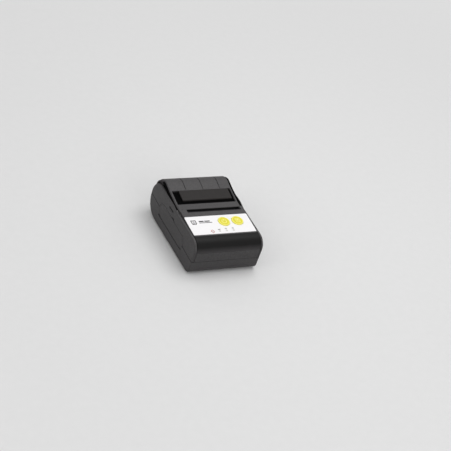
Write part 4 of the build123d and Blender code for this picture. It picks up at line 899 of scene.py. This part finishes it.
FRONT_SHADE_STRIP = ((-35.4, -0.2, 38.75), (35.4, 0.15, 40.1))
HEATING_LINE = ((-24.2, -0.96, 31.9), (28.8, -0.92, 32.7))
RESIN = ((-23.0, -0.98, 28.2), (27.6, -0.45, 30.2))
PLATE_CENTRE = (0.0, -18.0)
# A near-black strip on the cover's front face: painted shadow.
front_shade_finish = screen_ink("black_painted_shadow", "#0A0A0A", "#030303")
heater_glass = screen_ink("heater_glaze", "#4A3324", "#3C281B")
silver_film = screen_ink("silver_grey_film", "#B9BABC", "#ADAEB0")
soft_box("cover_front_shade_strip", *FRONT_SHADE_STRIP, edge=0.12, material=front_shade_finish, body="cover", slot="frame_abs")
soft_box("heating_line", *HEATING_LINE, edge=0.01, material=heater_glass, body="head",
         slot="head_ceramic")
soft_box("driver_resin", *RESIN, edge=0.2, material=chip_epoxy, body="head", slot="chip_epoxy")
corner_plate("bare_plate", PLATE_CENTRE, width=38.0, depth=18.0, low=0.68, high=0.82, radius=1.5,
             material=silver_film, body="battery_door")

# %% [markdown]
# Two coil springs press the print head to the platen. They stand on the bulkhead in front of it and
# shorten as the head swings back, which a rigid piece can't do. A merged copy of the CAD coils takes
# their place.

# %% Head springs
build = bmesh.new()
build.from_mesh(nodes["head_springs"].data)
bmesh.ops.remove_doubles(build, verts=build.verts, dist=1e-6)
coils = bpy.data.meshes.new("spring_coils")
build.to_mesh(coils)
build.free()
spring_coils = mesh_piece("spring_coils", coils, ground_steel, "case")
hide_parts("head_springs")
spring_low, spring_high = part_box("head_springs")
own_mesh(spring_coils)
print("springs", round((spring_high[1] - spring_low[1]) / MM, 2), "mm long")

# %% [markdown]
# The stage is one large pale sheet of card, a hair below the feet. Far from the printer the camera
# sees it in the tone of the backdrop, so no horizon line shows. It lets soft light through and is
# clear from below, so that the underside can be looked at as well. A light path node tells which
# kind of ray asks, and mixes the card with a glow and with nothing.

# %% Floor
BACKDROP = "#E6E6E6"
FADE_START = 0.25
FADE_END = 1.1
FLOOR_REACH = 6.0
FLOOR_DROP = 0.0001
CARD_CLOUD = 8.0
floor_finish, tree, place = open_material("pale_floor")
paper = add(tree, "ShaderNodeTexNoise", {"Scale": 1 / (CARD_CLOUD * MM), "Detail": 2.0},
            {"Vector": place})
shade = add(tree, "ShaderNodeValToRGB", links={"Fac": paper.outputs["Fac"]})
shade.color_ramp.elements[0].color = linear("#DEDEDE")
shade.color_ramp.elements[1].color = linear("#E2E2E2")
sheet = add(tree, "ShaderNodeBsdfPrincipled", {"Roughness": 0.9}, {"Base Color": shade.outputs["Color"]})
gap = add(tree, "ShaderNodeBsdfTransparent")
below = add(tree, "ShaderNodeNewGeometry").outputs["Backfacing"]
rays = add(tree, "ShaderNodeLightPath")
clear = add(tree, "ShaderNodeMath", links={0: below, 1: rays.outputs["Is Diffuse Ray"]},
            operation="MAXIMUM")
away = add(tree, "ShaderNodeVectorMath", links={0: place}, operation="LENGTH")
far = add(tree, "ShaderNodeMapRange", {"From Min": FADE_START, "From Max": FADE_END},
          {"Value": away.outputs["Value"]})
seen_far = add(tree, "ShaderNodeMath", links={0: far.outputs["Result"], 1: rays.outputs["Is Camera Ray"]},
               operation="MULTIPLY")
distance_glow = add(tree, "ShaderNodeEmission", {"Color": linear(BACKDROP), "Strength": 1.0})
sheet = add(tree, "ShaderNodeMixShader",
            links={0: seen_far.outputs[0], 1: sheet.outputs[0], 2: distance_glow.outputs[0]})
both = add(tree, "ShaderNodeMixShader",
           links={0: clear.outputs[0], 1: sheet.outputs[0], 2: gap.outputs[0]})
close_material(tree, both)
floor_mesh = bpy.data.meshes.new("floor")
floor_corners = [(FLOOR_REACH * x, FLOOR_REACH * y, 0) for x, y in ((-1, -1), (1, -1), (1, 1), (-1, 1))]
floor_mesh.from_pydata(floor_corners, [], [(0, 1, 2, 3)])
floor_mesh.materials.append(floor_finish)
floor = bpy.data.objects.new("floor", floor_mesh)
bpy.context.scene.collection.objects.link(floor)
floor.location.z = -FLOOR_DROP
floor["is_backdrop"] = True
print("floor", 2 * FLOOR_REACH, "m wide")

# %% [markdown]
# Round the stage stands a white tent, as for a product photograph: the world itself glows, more
# above than below. A picture of a real studio could do that too, but two numbers are easier to
# match. The camera, mirrors and glass see a plain pale grey instead of the tent.

# %% Tent
TENT_LOW = 0.36
TENT_HIGH = 0.62
HORIZON_BAND = 0.2
world = bpy.data.worlds.new("studio")
world.use_nodes = True
tree = world.node_tree
tree.nodes.clear()
ray = add(tree, "ShaderNodeLightPath")
seen = add(tree, "ShaderNodeMath", links={0: ray.outputs["Is Camera Ray"], 1: ray.outputs["Is Glossy Ray"]},
           operation="MAXIMUM")
seen = add(tree, "ShaderNodeMath", links={0: seen.outputs[0], 1: ray.outputs["Is Transmission Ray"]},
           operation="MAXIMUM")
towards = add(tree, "ShaderNodeTexCoord").outputs["Generated"]
way = add(tree, "ShaderNodeSeparateXYZ", links={"Vector": towards})
glow = add(tree, "ShaderNodeMapRange",
           {"From Min": -HORIZON_BAND, "From Max": HORIZON_BAND, "To Min": TENT_LOW,
            "To Max": TENT_HIGH},
           {"Value": way.outputs["Z"]})
tent = add(tree, "ShaderNodeBackground", {"Color": linear("#FFFFFF")}, {"Strength": glow.outputs["Result"]})
backdrop = add(tree, "ShaderNodeBackground", {"Color": linear(BACKDROP), "Strength": 1.0})
sky = add(tree, "ShaderNodeMixShader",
          links={0: seen.outputs[0], 1: tent.outputs[0], 2: backdrop.outputs[0]})
add(tree, "ShaderNodeOutputWorld", links={"Surface": sky.outputs[0]})
bpy.context.scene.world = world
print("tent from", TENT_LOW, "below to", TENT_HIGH, "above")

# %% [markdown]
# Three square lamps shape the light. The largest hangs overhead and gives the top faces more light
# than the sides. Weaker ones stand to the left and in front. They are wide for so small an object,
# so shadows stay soft.

# %% Lamps
LAMP_TARGET = (0, 0, 0.03)


def soft_lamp(name, place, size, power):
    """Square area lamp that faces the printer."""
    data = bpy.data.lights.new(name, "AREA")
    data.size = size
    data.energy = power
    lamp = bpy.data.objects.new(name, data)
    lamp.location = place
    lamp.rotation_euler = (Vector(LAMP_TARGET) - Vector(place)).to_track_quat("-Z", "Y").to_euler()
    bpy.context.scene.collection.objects.link(lamp)
    print(name, power, "W")


soft_lamp("overhead_lamp", (0.25, 0.1, 0.9), size=0.6, power=3.05)
soft_lamp("left_lamp", (-0.9, -0.2, 0.55), size=0.5, power=1.15)
soft_lamp("front_lamp", (0.1, -0.9, 0.5), size=0.5, power=1.2)
bpy.context.scene.view_settings.view_transform = "Standard"

# %% Sizes and finish
low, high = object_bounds()
sizes = {"cad": [list(cad_low), list(cad_high)], "visual": [list(low), list(high)]}
